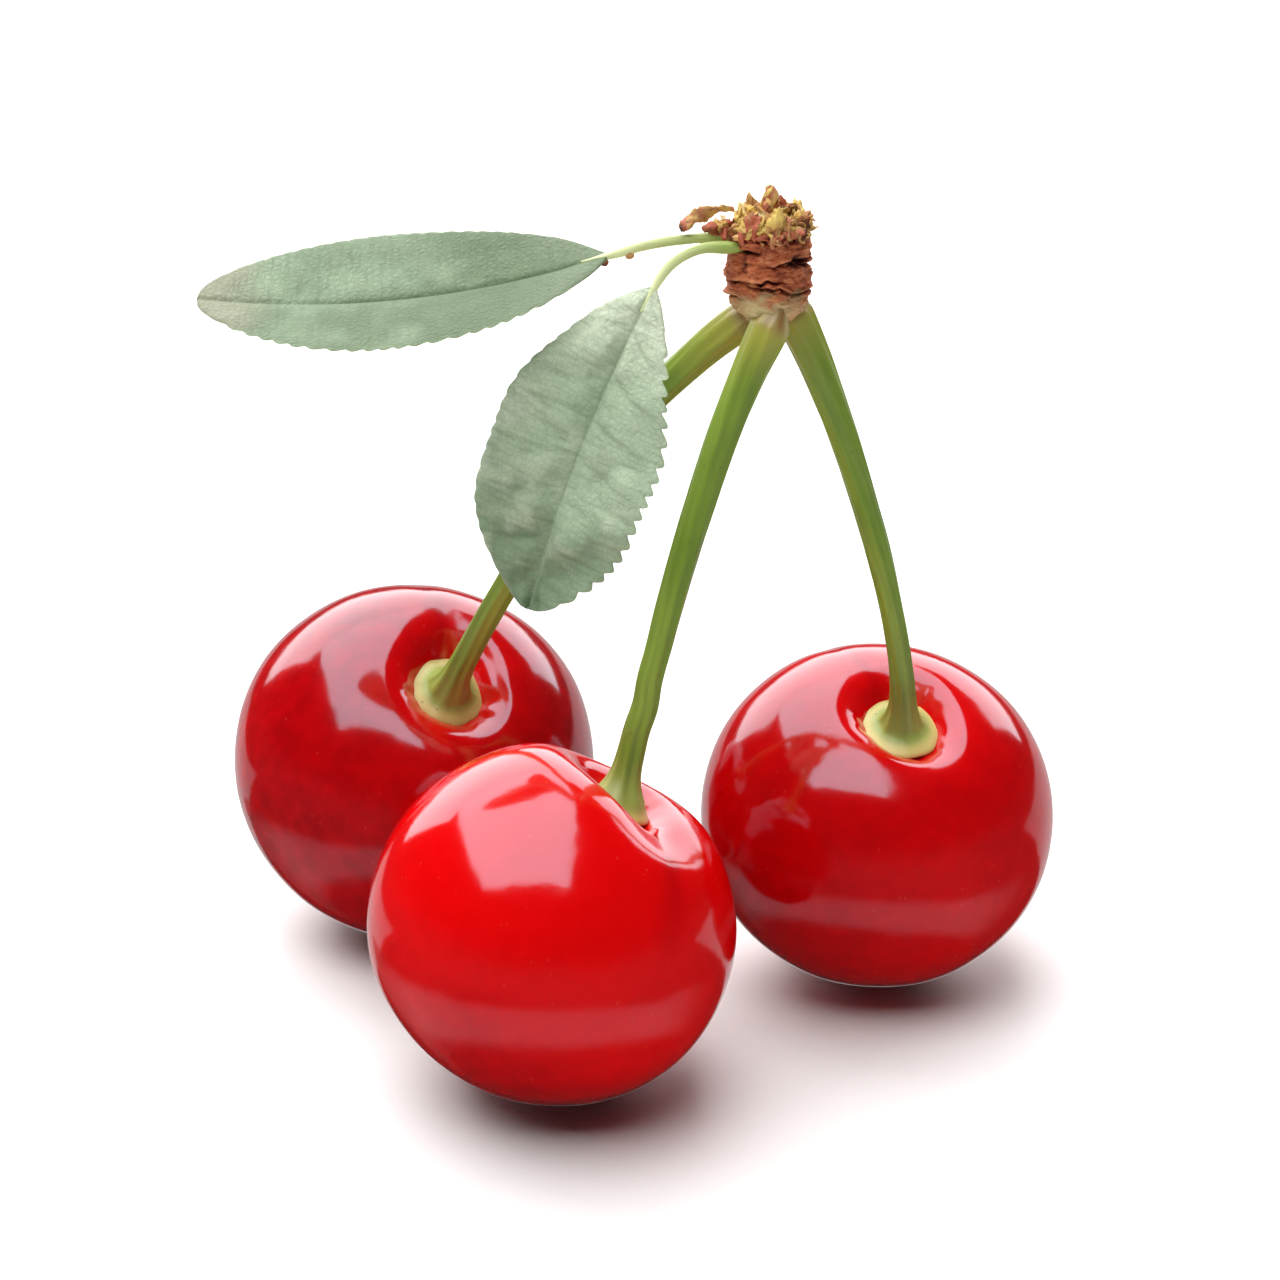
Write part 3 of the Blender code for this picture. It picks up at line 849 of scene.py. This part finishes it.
def spur_bark(settings, finish):
    """The spur: a barrel of bark in uneven layers, each edged by a crease that runs part of the way round.

    A crease is a bell-shaped groove with a lip over it, and its height wanders with the turn. Ridged
    noise stretched round the barrel makes the finer layers, and plain noise the lumps between them.
    Below the first layer it draws in over the stalks, and at the top it closes."""
    foot, radius, height = spur_size()
    share = np.linspace(-SPUR_DROP, 1.0, 190)[:, None]
    turn = whole_turn(240)
    circle = np.stack([np.cos(turn) + 0 * share, np.sin(turn) + 0 * share], axis=-1)
    stack = np.concatenate([circle * 1.7, (share * 2.6 + 0 * turn)[..., None]], axis=-1)
    place = share + 0.07 * rough_noise(stack, 31, 3)
    crease, lip = np.zeros_like(place), np.zeros_like(place)
    for number in range(RING_COUNT):
        level = 0.02 + 0.96 * number / RING_COUNT + 0.07 * np.sin(turn + 2.4 * number)
        part = rise(np.sin(turn * (1 + number % 2) + 1.9 * number), -0.7, 0.6)
        crease = np.maximum(crease, hump(place, level, 0.020) * part)
        lip = np.maximum(lip, hump(place, level + 0.045, 0.028) * part)
    layers = 1 - 2 * np.abs(lattice_noise(stack * np.array([1.1, 1.1, 4.6]) + 3.3, 91))
    rough = rough_noise(stack * np.array([2.6, 2.6, 4.2]), 57, 4)
    lumps = lattice_noise(stack * 0.9 + 1.7, 77)
    notch = hump(turn, np.radians(318), 0.26) * hump(share, 0.70, 0.075)
    knob = hump(turn, np.radians(335), 0.30) * hump(share, 0.84, 0.08)
    knob = knob + 0.8 * hump(turn, np.radians(330), 0.4) * hump(share, 0.55, 0.09)
    swell = 0.89 + 0.05 * np.sin(np.pi * np.clip(share, 0, 1)) + 0.10 * lumps + 0.07 * rough + 0.04 * layers
    body = radius * swell + settings.ring_depth * (0.5 * lip - crease) + MM * (0.22 * knob - 0.55 * notch)
    body = body * (1 - 0.30 * rise(-share, 0.0, SPUR_DROP)) * np.sqrt(1 - 0.8 * rise(share, 0.93, 1.0))
    climb = foot[2] + height * (share + 0.015 * rough)
    points = np.stack([foot[0] + body * circle[..., 0], foot[1] + body * circle[..., 1], climb], axis=-1)
    ends = np.array([[foot[0], foot[1], climb[0].mean() - 0.1 * MM], [foot[0], foot[1], climb[-1].mean()]])
    worn = (lip * 0.5 + 0.35 * knob + 0.3 * rise(layers, 0.5, 1.0)) * rise(rough, -0.3, 0.5)
    # Painted shade: darker in the creases, the notch and the low spots of the bark's lumps and layers.
    deep = crease * 0.8 + notch * 1.1 + rise(-rough, 0.45, 1.0) * 0.6 + rise(-layers, 0.2, 0.9) * 0.35
    marks = {
        "crevice_shade": np.clip(deep, 0, 1),
        "raised": np.clip(worn, 0, 1),
        "pale": rise(-(share + 0.12 * rough), -0.30, 0.0) * (0.5 + 0.5 * hump(turn, np.radians(250), 0.8)),
    }
    shell_piece("spur_bark", points, finish, ("spur",), marks, ends)


def crumpled(places, sizes, turns, seed, rows, columns, roughness):
    """Crumpled balls: each a ball scaled to its sizes, dented by noise of its own, turned and set in place.

    places and sizes have the shape shells, 3, and turns holds a rotation matrix for each shell."""
    down = pole_to_pole(rows)
    turn = whole_turn(columns)
    ball = unit_ball(down, turn)
    offsets = np.arange(len(places))[:, None, None, None] * 7.31
    dents = rough_noise(ball[None] * 1.6 + offsets, seed, 3)
    shells = ball[None] * (1 + roughness * dents)[..., None] * sizes[:, None, None, :]
    return places[:, None, None] + np.einsum("nij,nabj->nabi", turns, shells)


def random_turns(draw, count):
    """Rotation matrices in random directions."""
    frames = draw.normal(size=(count, 2, 3))
    first = unit(frames[:, 0])
    second = unit(np.cross(first, frames[:, 1]))
    return np.stack([first, second, np.cross(first, second)], axis=-1)


def crown_crumbs(settings, finish):
    """Bits of dry scale heaped on the spur, highest right of its middle, with a few over the dry bract."""
    foot, radius, height = spur_size()
    draw = np.random.default_rng(404)
    count = settings.crumbs
    out = np.sqrt(draw.uniform(0.0, 1.0, count)) * radius * 0.98
    turn = draw.uniform(0, FULL_TURN, count)
    aside = np.stack([out * np.cos(turn), out * np.sin(turn)], axis=-1)
    peak = np.array([0.16, 0.05]) * radius
    from_peak = np.linalg.norm(aside - peak, axis=1) / (radius * CROWN_REACH)
    dome = CROWN_HEIGHT * np.clip(1 - from_peak**1.7, 0, 1)
    climb = height - 0.30 * MM + dome * draw.uniform(0.1, 1.0, count) ** 0.5
    spill = np.arange(count) < count // 14
    scatter = draw.normal(0, 0.28, (spill.sum(), 2)) * MM
    aside[spill] = np.array([-1.0, 0.0]) * radius + scatter + [-0.35 * MM, 0]
    climb[spill] = height + draw.uniform(-0.15, 0.45, spill.sum()) * MM
    places = foot + np.column_stack([aside, climb])
    sizes = draw.uniform(0.13, 0.30, (count, 1)) * MM
    sizes = sizes * draw.uniform([1.1, 0.6, 0.22], [2.1, 1.1, 0.6], (count, 3))
    grids = crumpled(places, sizes, random_turns(draw, count), 90, 12, 18, 0.62)
    low = rise(-climb, -(height + 0.5 * MM), -(height - 0.2 * MM))
    own = np.clip(draw.uniform(0.40, 0.98, count) - 0.34 * low - 0.3 * (draw.uniform(0, 1, count) < 0.2), 0, 1)
    marks = {"own": np.broadcast_to(own[:, None, None], grids.shape[:3])}
    shell_piece("crown_crumbs", grids, finish, (), marks)


def bud_scale(number, finish):
    """One dry scale: a thin flake, crumpled all over, that fills its CAD node."""
    node = f"bud_scale_{number}"
    middle, half = node_box(node)
    foot, _, _ = spur_size()
    outward = unit((middle - foot) * np.array([1, 1, 0]))
    turns = np.stack([outward, np.cross(UP, outward), UP], axis=-1)[None]
    sizes = np.array([[0.30 * MM, 0.50 * MM, half[2] * 0.80]]) * (0.80 + 0.22 * np.sin(2.3 * number) ** 2)
    places = (middle - 0.22 * MM * UP * (1 + number % 3) - 0.1 * MM * outward)[None]
    grids = crumpled(places, sizes, turns, 200 + 9 * number, 30, 36, 0.5)
    own = np.full(grids.shape[:3], 0.36 + 0.42 * np.abs(np.sin(1.9 * number)))
    shell_piece(f"bud_flake_{number}", grids, finish, (node,), {"own": own})


def terminal_bud(finish):
    """The bud in the crown's middle: an egg wrapped in overlapping scales that spiral to its point."""
    middle, half = node_box("terminal_bud")
    down = pole_to_pole(60)
    turn = whole_turn(64)
    ball = unit_ball(down, turn)
    spiral = (3.5 * down / np.pi + turn * 3 / FULL_TURN) % 1.0
    wrap = 0.14 * spiral + 0.10 * rough_noise(ball * 2.2, 61, 3)
    egg = 0.92 + 0.10 * np.cos(down)
    size = half * np.array([1.05, 1.05, 0.98])
    points = middle + ball * (1 + wrap - 0.08)[..., None] * egg[..., None] * size
    marks = {"own": 0.30 + 0.45 * spiral}
    shell_piece("bud_tip", points, finish, ("terminal_bud",), marks)


def dry_bract(finish):
    """The dry bract: a flat strip carried along a drooping line, twisted and crumpled, with a knotted end."""
    low, high = (np.array(corner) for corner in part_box("dry_bract"))
    start = np.array([high[0] + 0.9 * MM, (low[1] + high[1]) / 2, high[2] - 0.05 * MM])
    finish_at = np.array([low[0] + 0.5 * MM, (low[1] + high[1]) / 2, low[2] - 0.3 * MM])
    share = np.linspace(0, 1, 90)[:, None]
    turn = whole_turn(36)
    line = start + (finish_at - start) * share + UP * 0.34 * MM * np.sin(np.pi * share)
    way = unit(finish_at - start)
    side, over = across(way, TO_FRONT)
    twist = 2.6 * share + 0.5 * np.sin(9 * share)
    noise = rough_noise(unit_barrel(turn, share * 7), 71, 4)
    knot = 1 + 0.35 * hump(share, 0.93, 0.09) + 0.45 * hump(share, 0.55, 0.12)
    wide = 0.31 * MM * knot * np.cos(turn) * (1 + 0.5 * noise) * np.sqrt(1 - rise(share, 0.94, 1.0) * 0.8)
    thin = 0.13 * MM * knot**1.6 * np.sin(turn) * (1 + 0.6 * noise)
    bent_side = np.cos(twist)[..., None] * side + np.sin(twist)[..., None] * over
    bent_over = -np.sin(twist)[..., None] * side + np.cos(twist)[..., None] * over
    points = line[:, None] + wide[..., None] * bent_side + thin[..., None] * bent_over
    own = 0.58 - 0.42 * hump(share, 0.97, 0.12) - 0.12 * hump(share, 0.6, 0.1) + 0.16 * noise
    shell_piece("bract_strip", points, finish, ("dry_bract",), {"own": own + 0 * turn})


class SPRIG_OT_spur(bpy.types.Operator):
    """Makes the woody spur: ringed bark that draws in over the tops of the stalks"""

    bl_idname = "sprig.spur"
    bl_label = "Spur"

    def execute(self, context):
        settings = context.scene.sprig_spur
        spur_bark(settings, bark_finish(settings))
        return {"FINISHED"}


class SPRIG_OT_crown(bpy.types.Operator):
    """Makes the crown: a bud, seven dry scales, the crumbs among them and the dry bract"""

    bl_idname = "sprig.crown"
    bl_label = "Crown"

    def execute(self, context):
        settings = context.scene.sprig_spur
        finish = scale_finish(settings)
        terminal_bud(finish)
        for number in range(1, 8):
            bud_scale(number, finish)
        crown_crumbs(settings, finish)
        dry_bract(finish)
        return {"FINISHED"}


# --- Leaves ---------------------------------------------------------------------------------------

# Each leaf's node, which way its upper face looks, the number of side veins, teeth on the two
# edges against each other, how strong its puckers are, how dark it is at its stalk, middle and tip,
# and a seed.
LEAVES = {
    "left_leaf": ("leaf_left", (0.0, -0.35, 1.0), 9, (0.8, 0.3), 0.3, (1.3, 0.60, 0.5), 5),
    "front_leaf": ("leaf_front", (-0.2, -1.0, 0.35), 8, (1.5, 0.35), 1.35, (0.0, -0.06, 0.66), 9),
}
SMALLEST_BLADE = 0.55 * MM  # half width past which a leaf is blade and no longer stalk
WIDE_BLADE = 1.8 * MM  # half width past which a ring shows the blade's tilt well
HALF_COLUMNS = 60  # points across a blade's upper face
TEETH_PER_VEIN = 2.6
VEIN_SLANT = 0.55  # how much a side vein leans towards the tip
MIDRIB_WIDTH = 0.16 * MM
MIDRIB_DEPTH = 0.10 * MM


def leaf_parts(node):
    """A leaf's line from the spur, the distance where its blade starts, and its rings of blade."""
    foot, _, height = spur_size()
    line = Line(node, foot + UP * height)
    first = int(np.nonzero(line.half_width > SMALLEST_BLADE)[0][0])
    return line, line.at[max(first - 1, 0)], first


def leaf_blade(name, node, face, veins, teeth, puckering, darkness, seed, settings, finish):
    """A blade: a thin closed sheet whose rows follow the node's line and whose columns cross it.

    Each row is as wide as the node there, less the teeth, which are a sawtooth along each edge. The
    height over the row's chord is the fold, plus a pocket between each two side veins, plus waves
    at the edges. The two faces are half the thickness above and below, and meet at the edge."""
    line, start, first = leaf_parts(node)
    share = np.linspace(0, 1, 190)[:, None]
    at = start + (line.length - start) * share[:, 0]
    known = np.concatenate([[start], line.at[first:]])
    squares = np.concatenate([[0.0], line.half_width[first:-1] ** 2, [0.0]])
    wide = np.sqrt(np.interp(at, known, squares) + (0.02 * MM) ** 2)
    opening = 0.12 * MM + 1.2 * (at - start)  # as wide as it may be this near its stalk
    wide = (wide**-4 + opening**-4) ** -0.25
    broad = np.nonzero(line.half_width > WIDE_BLADE)[0]
    measured = line.side[broad]
    signs = np.cumprod(np.concatenate([[1.0], np.sign((measured[1:] * measured[:-1]).sum(-1))]))
    measured = measured * signs[:, None]
    sides = np.stack([np.interp(at, line.at[broad], measured[:, n]) for n in range(3)], axis=-1)
    places, ways = line.place_and_way(at)
    aside, over = across(ways, sides)
    flip = np.where((over[len(over) // 2] * np.array(face)).sum() < 0, -1.0, 1.0)
    aside, over = aside * flip, over * flip

    span = np.cos(np.pi * np.linspace(0, 1, HALF_COLUMNS))
    span = np.sign(span) * np.abs(span) ** 1.5  # closer together along the midrib
    reach = np.concatenate([span, span[::-1][1:-1]])[None, :]  # from one edge over to the other and back under
    upper = np.concatenate([np.ones(HALF_COLUMNS), -np.ones(HALF_COLUMNS - 2)])[None, :]
    edge = np.abs(reach)
    left = reach > 0

    saw = (share * TEETH_PER_VEIN * veins - 0.35 * np.sin(5 * share) + 0.2 * np.sin(23 * share)) % 1.0
    lobe = np.sin(np.pi * saw**1.7) ** 0.7 - 0.6
    tooth = settings.tooth * lobe * rise(share, 0.06, 0.2) * rise(-share, -0.985, -0.9)
    tooth = tooth * np.where(left, teeth[0], teeth[1]) * edge**6
    uneven = 1 + 0.05 * lattice_noise(np.concatenate([share * 5, 0 * share, share], axis=-1), seed)[:, None]
    across_it = reach * wide[:, None] * uneven + np.sign(reach) * tooth

    vein_place = share * veins - VEIN_SLANT * edge**0.85 * (1 + 0.25 * share) * veins / 8
    vein_place = vein_place + 0.18 * np.sin(2.2 * reach + 3 * share + seed)
    vein_gap = np.abs(vein_place - np.round(vein_place))
    pocket = np.abs(np.sin(np.pi * vein_place)) ** 0.75
    room = np.clip(1 - edge, 0, 1) ** 0.5 * rise(edge, 0.0, 0.22)
    sheet = np.stack([across_it, at[:, None] + 0 * reach, 0 * across_it], axis=-1)
    grain = rough_noise(sheet / (1.9 * MM), seed + 3, 3)
    dents = rough_noise(sheet / (np.array([4.2, 3.0, 1.0]) * MM), seed + 8, 2)
    puckers = 0.6 * pocket + 1.2 * grain + 3.6 * np.abs(dents) * (puckering > 1)
    puckers = settings.pucker * puckering * puckers * room
    ruffle = 0.16 * MM * puckering**2 * edge**3 * np.sin(share * 17 + 1.3 * np.sign(reach) + seed)
    ruffle = ruffle * rise(share, 0.08, 0.3)
    fold = 0.12 * edge * wide[:, None] - 0.06 * wide[:, None]
    midrib = hump(reach * wide[:, None], 0, MIDRIB_WIDTH)
    relief = puckers + ruffle + fold - MIDRIB_DEPTH * midrib
    lift = relief * rise(share, 0.0, 0.12)

    edge_taper = np.sqrt(np.clip(1 - edge**8, 0, 1)) * 0.5 + 0.02
    keel = np.where(upper < 0, -0.16 * MM * midrib * (1 - 0.7 * share), 0.0)  # the midrib stands out below
    thick = settings.thickness * edge_taper * upper + keel
    points = places[:, None] + across_it[..., None] * aside[:, None] + (lift + thick)[..., None] * over[:, None]
    crease = hump(vein_gap, 0, 0.07) * rise(edge, 0.02, 0.12) * rise(-edge, -0.97, -0.7) * 0.75
    crease = np.maximum(crease, midrib)
    thin_midrib = hump(reach * wide[:, None], 0, 0.10 * MM) * rise(-share, -0.80, -0.55)
    side_veins = (crease - midrib).clip(0) * (0.2 if puckering < 1 else 0.5)
    # Painted shade: the front leaf darkens in the low spots between its puckers, and the left leaf over its
    # half nearer the front.
    near = np.clip(reach * (aside @ TO_FRONT)[:, None] * 3, 0, 1)
    painted_leaf_shade = 0.30 * rise(-np.abs(dents), -0.16, 0.0) * room if puckering > 1 else 0.30 * near
    deep = np.interp(share, (0.12, 0.5, 1.0), darkness) + 0.22 * grain + painted_leaf_shade
    pale = rise(-share, -0.32, -0.02) + 0.24 * rise(-share, -0.85, -0.6) + 0.35 * rise(grain, 0.2, 0.8)
    marks = {
        "sheet": sheet,
        "vein": np.clip(side_veins + 1.7 * thin_midrib * (1.0 if puckering < 1 else 0.35), 0, 1.7),
        "pale": np.clip(pale, 0, 1) * (0.9 if puckering > 1 else 0.1),
        "deep": np.clip(deep, 0, 1) + 0 * reach,
        "tip": rise(share + 0.04 * grain, 0.78, 0.97) * (0.85 if puckering < 1 else 0.0) + 0 * reach,
        "rim": rise(edge, 0.95, 1.0) * 0.4 + 0 * share,
    }
    shell_piece(f"{name}_blade", points, finish, (node,), marks)


def leaf_stalk(name, node, seed, finish):
    """A leaf stalk: a rod with a shallow channel, from inside the spur's bark into the blade's midrib."""
    line, start, _ = leaf_parts(node)
    at = np.linspace(-1.3 * MM, start + 1.5 * MM, 90)[:, None]
    turn = whole_turn(28)
    run_out = rise(at, start - 0.8 * MM, start + 1.5 * MM)
    flare = 0.30 * hump(at, 0, 0.9 * MM) - 0.5 * rise(-at, 0.4 * MM, 1.3 * MM)
    thick = line.half_width[1] * (1.05 - 0.80 * run_out + flare)
    channel = 1 - 0.22 * hump(turn, np.pi / 2, 0.6)
    noise = lattice_noise(unit_barrel(turn, at / MM), seed)
    radius = thick * channel * (1 + 0.08 * noise)
    rod = np.stack([radius * np.cos(turn), radius * np.sin(turn), at + 0 * turn], axis=-1)
    marks = {"rod": rod, "height": np.clip(at / start, 0, 1) + 0 * turn}
    shell_piece(f"{name}_stalk", tube(line, at, turn, radius), finish, (node,), marks)


def leaf_glands(finish):
    """Two small round glands on the left leaf's stalk, close under its blade."""
    line, start, _ = leaf_parts("leaf_left")
    at = np.array([start - 1.2 * MM, start + 0.2 * MM])
    places = line.place_and_way(at)[0] + np.array([[0, -0.1, -0.32], [0, -0.1, -0.30]]) * MM
    sizes = np.array([[0.26, 0.22, 0.22], [0.22, 0.22, 0.20]]) * MM
    grids = crumpled(places, sizes, np.stack([np.eye(3)] * 2), 31, 20, 28, 0.16)
    marks = {"own": np.broadcast_to(np.array([0.60, 0.12])[:, None, None], grids.shape[:3])}
    shell_piece("leaf_glands", grids, finish, (), marks)


class SPRIG_OT_leaves(bpy.types.Operator):
    """Makes the two small leaves: puckered toothed blades, their stalks and two glands"""

    bl_idname = "sprig.leaves"
    bl_label = "Leaves"

    def execute(self, context):
        settings = context.scene.sprig_leaves
        blade, rod = blade_finish(settings), leaf_stalk_finish(settings)
        for name, row in LEAVES.items():
            leaf_blade(name, *row, settings, blade)
            leaf_stalk(name, row[0], row[-1], rod)
        leaf_glands(scale_finish(context.scene.sprig_spur))
        return {"FINISHED"}


# --- Stage ----------------------------------------------------------------------------------------

CAMERA_FROM_FRONT_CHERRY = np.array([0.00343, -0.17470, 0.08810])
AIM_BELOW_MIDDLE = 0.0022
FLOOR_RADIUS = 4.0
WALL_RADIUS, WALL_HEIGHT = 0.48, 0.9
REFLECTOR_HEIGHT = -0.12

# Each lamp's place, the point that it faces, its width and its height.
LAMPS = {
    "lamp_overhead": ((-0.175, 0.03, 0.50), (-0.175, 0.03, 0.0), 0.63, 0.82),
    "lamp_behind": ((0.0, 0.62, 0.34), (0.0, 0.0, 0.05), 1.5, 0.52),
}


def add_stage_object(name, data):
    made = bpy.data.objects.new(name, data)
    bpy.context.scene.collection.objects.link(made)
    return made


def aim(thing, target):
    """Turns an object so that its own -Z looks at a point."""
    thing.rotation_euler = (Vector(target) - thing.location).to_track_quat("-Z", "Y").to_euler()


def lamp_panel(name, place, target, width, height, brightness):
    """A rectangular lamp of even brightness, whose power is brightness times pi times its area."""
    light = bpy.data.lights.new(name, "AREA")
    light.shape = "RECTANGLE"
    light.size, light.size_y = width, height
    light.energy = brightness * np.pi * width * height
    made = add_stage_object(name, light)
    made.location = place
    aim(made, target)
    made.visible_camera = False


def reflector(name, x, y, glow, brightness):
    """A flat glowing sheet under the floor that shows in reflections alone, as a pale table's shine would.

    x, y and glow are grids of its points' places and of each point's share of the brightness."""
    rows, columns = x.shape
    first = np.arange(rows - 1)[:, None] * columns + np.arange(columns - 1)[None]
    quads = np.stack([first, first + 1, first + columns + 1, first + columns], axis=-1).reshape(-1, 4)
    points = np.stack([x, y, np.full(x.shape, REFLECTOR_HEIGHT)], axis=-1)
    shine = Finish(name)
    strength = shine.math("MULTIPLY", shine.mark("glow"), brightness)
    finish = shine.surface(Base_Color=(0, 0, 0), Emission_Color=(1, 1, 1), Emission_Strength=strength)
    finish.cycles.emission_sampling = "NONE"
    sheet = add_stage_object(name, new_mesh(name, points, quads.tolist(), finish, {"glow": glow[..., None]}))
    for ray in ("camera", "diffuse", "transmission", "shadow"):
        setattr(sheet, f"visible_{ray}", False)


def front_reflector(brightness):
    """A sheet bent round the front and sides of the sprig, which fades out at all its edges."""
    left, right = -140, 125  # degrees from the front
    near, far = 0.090, 0.28
    turn = np.linspace(left, right, 60)[:, None]
    out = np.linspace(near, far, 20)[None, :]
    glow = rise(out, near, 0.125) * rise(-out, -far, -0.20) * rise(turn, left, -95) * rise(-turn, -right, -60)
    x, y = out * np.sin(np.radians(turn)), -out * np.cos(np.radians(turn))
    reflector("reflector_front", x, y, glow, brightness)


def back_reflector(brightness):
    """A wide sheet behind the sprig, which shows along the edges of the fruits."""
    x, y = np.meshgrid(np.linspace(-0.5, 0.9, 9), np.linspace(0.17, 1.8, 9))
    reflector("reflector_back", x, y, np.ones(x.shape), brightness)


def disc(name, radius, rows, columns, finish):
    """A flat round sheet at height nought: rings of points about the origin, closer together near it."""
    out = (radius * np.linspace(0, 1, rows + 1)[1:] ** 2)[:, None]
    turn = whole_turn(columns)
    points = np.stack([out * np.cos(turn), out * np.sin(turn), 0 * out * turn], axis=-1).reshape(-1, 3)
    index, following, quads = ring_faces(rows, columns)
    fan = np.stack([np.full(columns, rows * columns), index[0], following[0]], axis=-1)
    faces = quads[:, ::-1].tolist() + fan.tolist()
    return new_mesh(name, np.concatenate([points, np.zeros((1, 3))]), faces, finish)


def backdrop_wall(name, radius, height, finish):
    """A round wall about the origin whose faces look inwards."""
    points = unit_barrel(whole_turn(96), np.linspace(0, 1, 12)[:, None]) * [radius, radius, height]
    mesh = new_mesh(name, points, ring_faces(12, 96)[2][:, ::-1].tolist(), finish)
    mesh.shade_smooth()
    return mesh


class SPRIG_OT_stage(bpy.types.Operator):
    """Makes the pale floor and backdrop, the lamps and the camera"""

    bl_idname = "sprig.stage"
    bl_label = "Stage"

    def execute(self, context):
        settings = context.scene.sprig_stage
        paper = Finish("pale_floor")
        grain = paper.noise(paper.place(), 900.0, 3.0)
        shade = paper.mix(grain, settings.floor, tuple(0.97 * value for value in settings.floor))
        # The floor glows further out, where the lamps don't reach.
        away = paper.add("ShaderNodeVectorMath", {0: paper.place()}, operation="LENGTH").outputs["Value"]
        finish = paper.surface(
            Base_Color=shade,
            Roughness=0.7,
            Normal=paper.bump(grain, 0.00002),
            Emission_Color=(1, 1, 1),
            Emission_Strength=paper.span(away, 0.16, 0.36),
        )
        finish.cycles.emission_sampling = "NONE"
        floor = add_stage_object("floor", disc("floor", FLOOR_RADIUS, 40, 96, finish))
        floor.visible_glossy = False
        wall = Finish("pale_backdrop")
        finish = wall.surface(
            Base_Color=(0, 0, 0), Roughness=1.0, Emission_Color=(1, 1, 1), Emission_Strength=1.0
        )
        backdrop = add_stage_object("backdrop", backdrop_wall("backdrop", WALL_RADIUS, WALL_HEIGHT, finish))
        for ray in ("diffuse", "glossy", "transmission", "shadow"):
            setattr(backdrop, f"visible_{ray}", False)

        for name, brightness in (("lamp_overhead", settings.overhead), ("lamp_behind", settings.behind)):
            lamp_panel(name, *LAMPS[name], brightness)
        front_reflector(settings.low_front)
        back_reflector(settings.low_back)

        room = bpy.data.worlds.new("dim_room")
        room.use_nodes = True
        back = room.node_tree.nodes["Background"]
        back.inputs["Color"].default_value = (1.0, 1.0, 1.0, 1.0)
        back.inputs["Strength"].default_value = settings.surround
        context.scene.world = room

        context.scene.view_settings.view_transform = "Standard"
        eye = bpy.data.cameras.new("camera")
        eye.sensor_width = 36.0
        eye.lens = settings.lens
        eye.clip_start = 0.01
        camera = add_stage_object("camera", eye)
        fruit, _, _ = fruit_frame("cherry_front")
        camera.location = fruit + CAMERA_FROM_FRONT_CHERRY
        low, high = CAD_BOX
        aim(camera, (low + high) / 2 - Vector((0.0, 0.0, AIM_BELOW_MIDDLE)))
        context.scene.camera = camera
        return {"FINISHED"}


# --- Panel and registration -----------------------------------------------------------------------

OPERATORS = (SPRIG_OT_stage, SPRIG_OT_cherries, SPRIG_OT_stalks, SPRIG_OT_spur, SPRIG_OT_crown, SPRIG_OT_leaves)


class SPRIG_PT_panel(bpy.types.Panel):
    """Lists the sprig's pieces and their settings"""

    bl_idname = "SPRIG_PT_panel"
    bl_label = "Cherry Sprig"
    bl_space_type = "VIEW_3D"
    bl_region_type = "UI"
    bl_category = "Cherry Sprig"

    def draw(self, context):
        for operator in OPERATORS:
            self.layout.operator(operator.bl_idname)
        for name, group in GROUPS.items():
            box = self.layout.box()
            box.label(text=group.__doc__)
            for field in group.__annotations__:
                box.prop(getattr(context.scene, name), field)


def register():
    for thing in (*GROUPS.values(), *OPERATORS, SPRIG_PT_panel):
        bpy.utils.register_class(thing)
    for name, group in GROUPS.items():
        setattr(bpy.types.Scene, name, PointerProperty(type=group))


def unregister():
    for name in GROUPS:
        delattr(bpy.types.Scene, name)
    for thing in reversed((*GROUPS.values(), *OPERATORS, SPRIG_PT_panel)):
        bpy.utils.unregister_class(thing)


def main():
    register()
    bpy.ops.sprig.stage()
    bpy.ops.sprig.cherries()
    bpy.ops.sprig.stalks()
    bpy.ops.sprig.spur()
    bpy.ops.sprig.crown()
    bpy.ops.sprig.leaves()


if __name__ == "__main__":
    main()
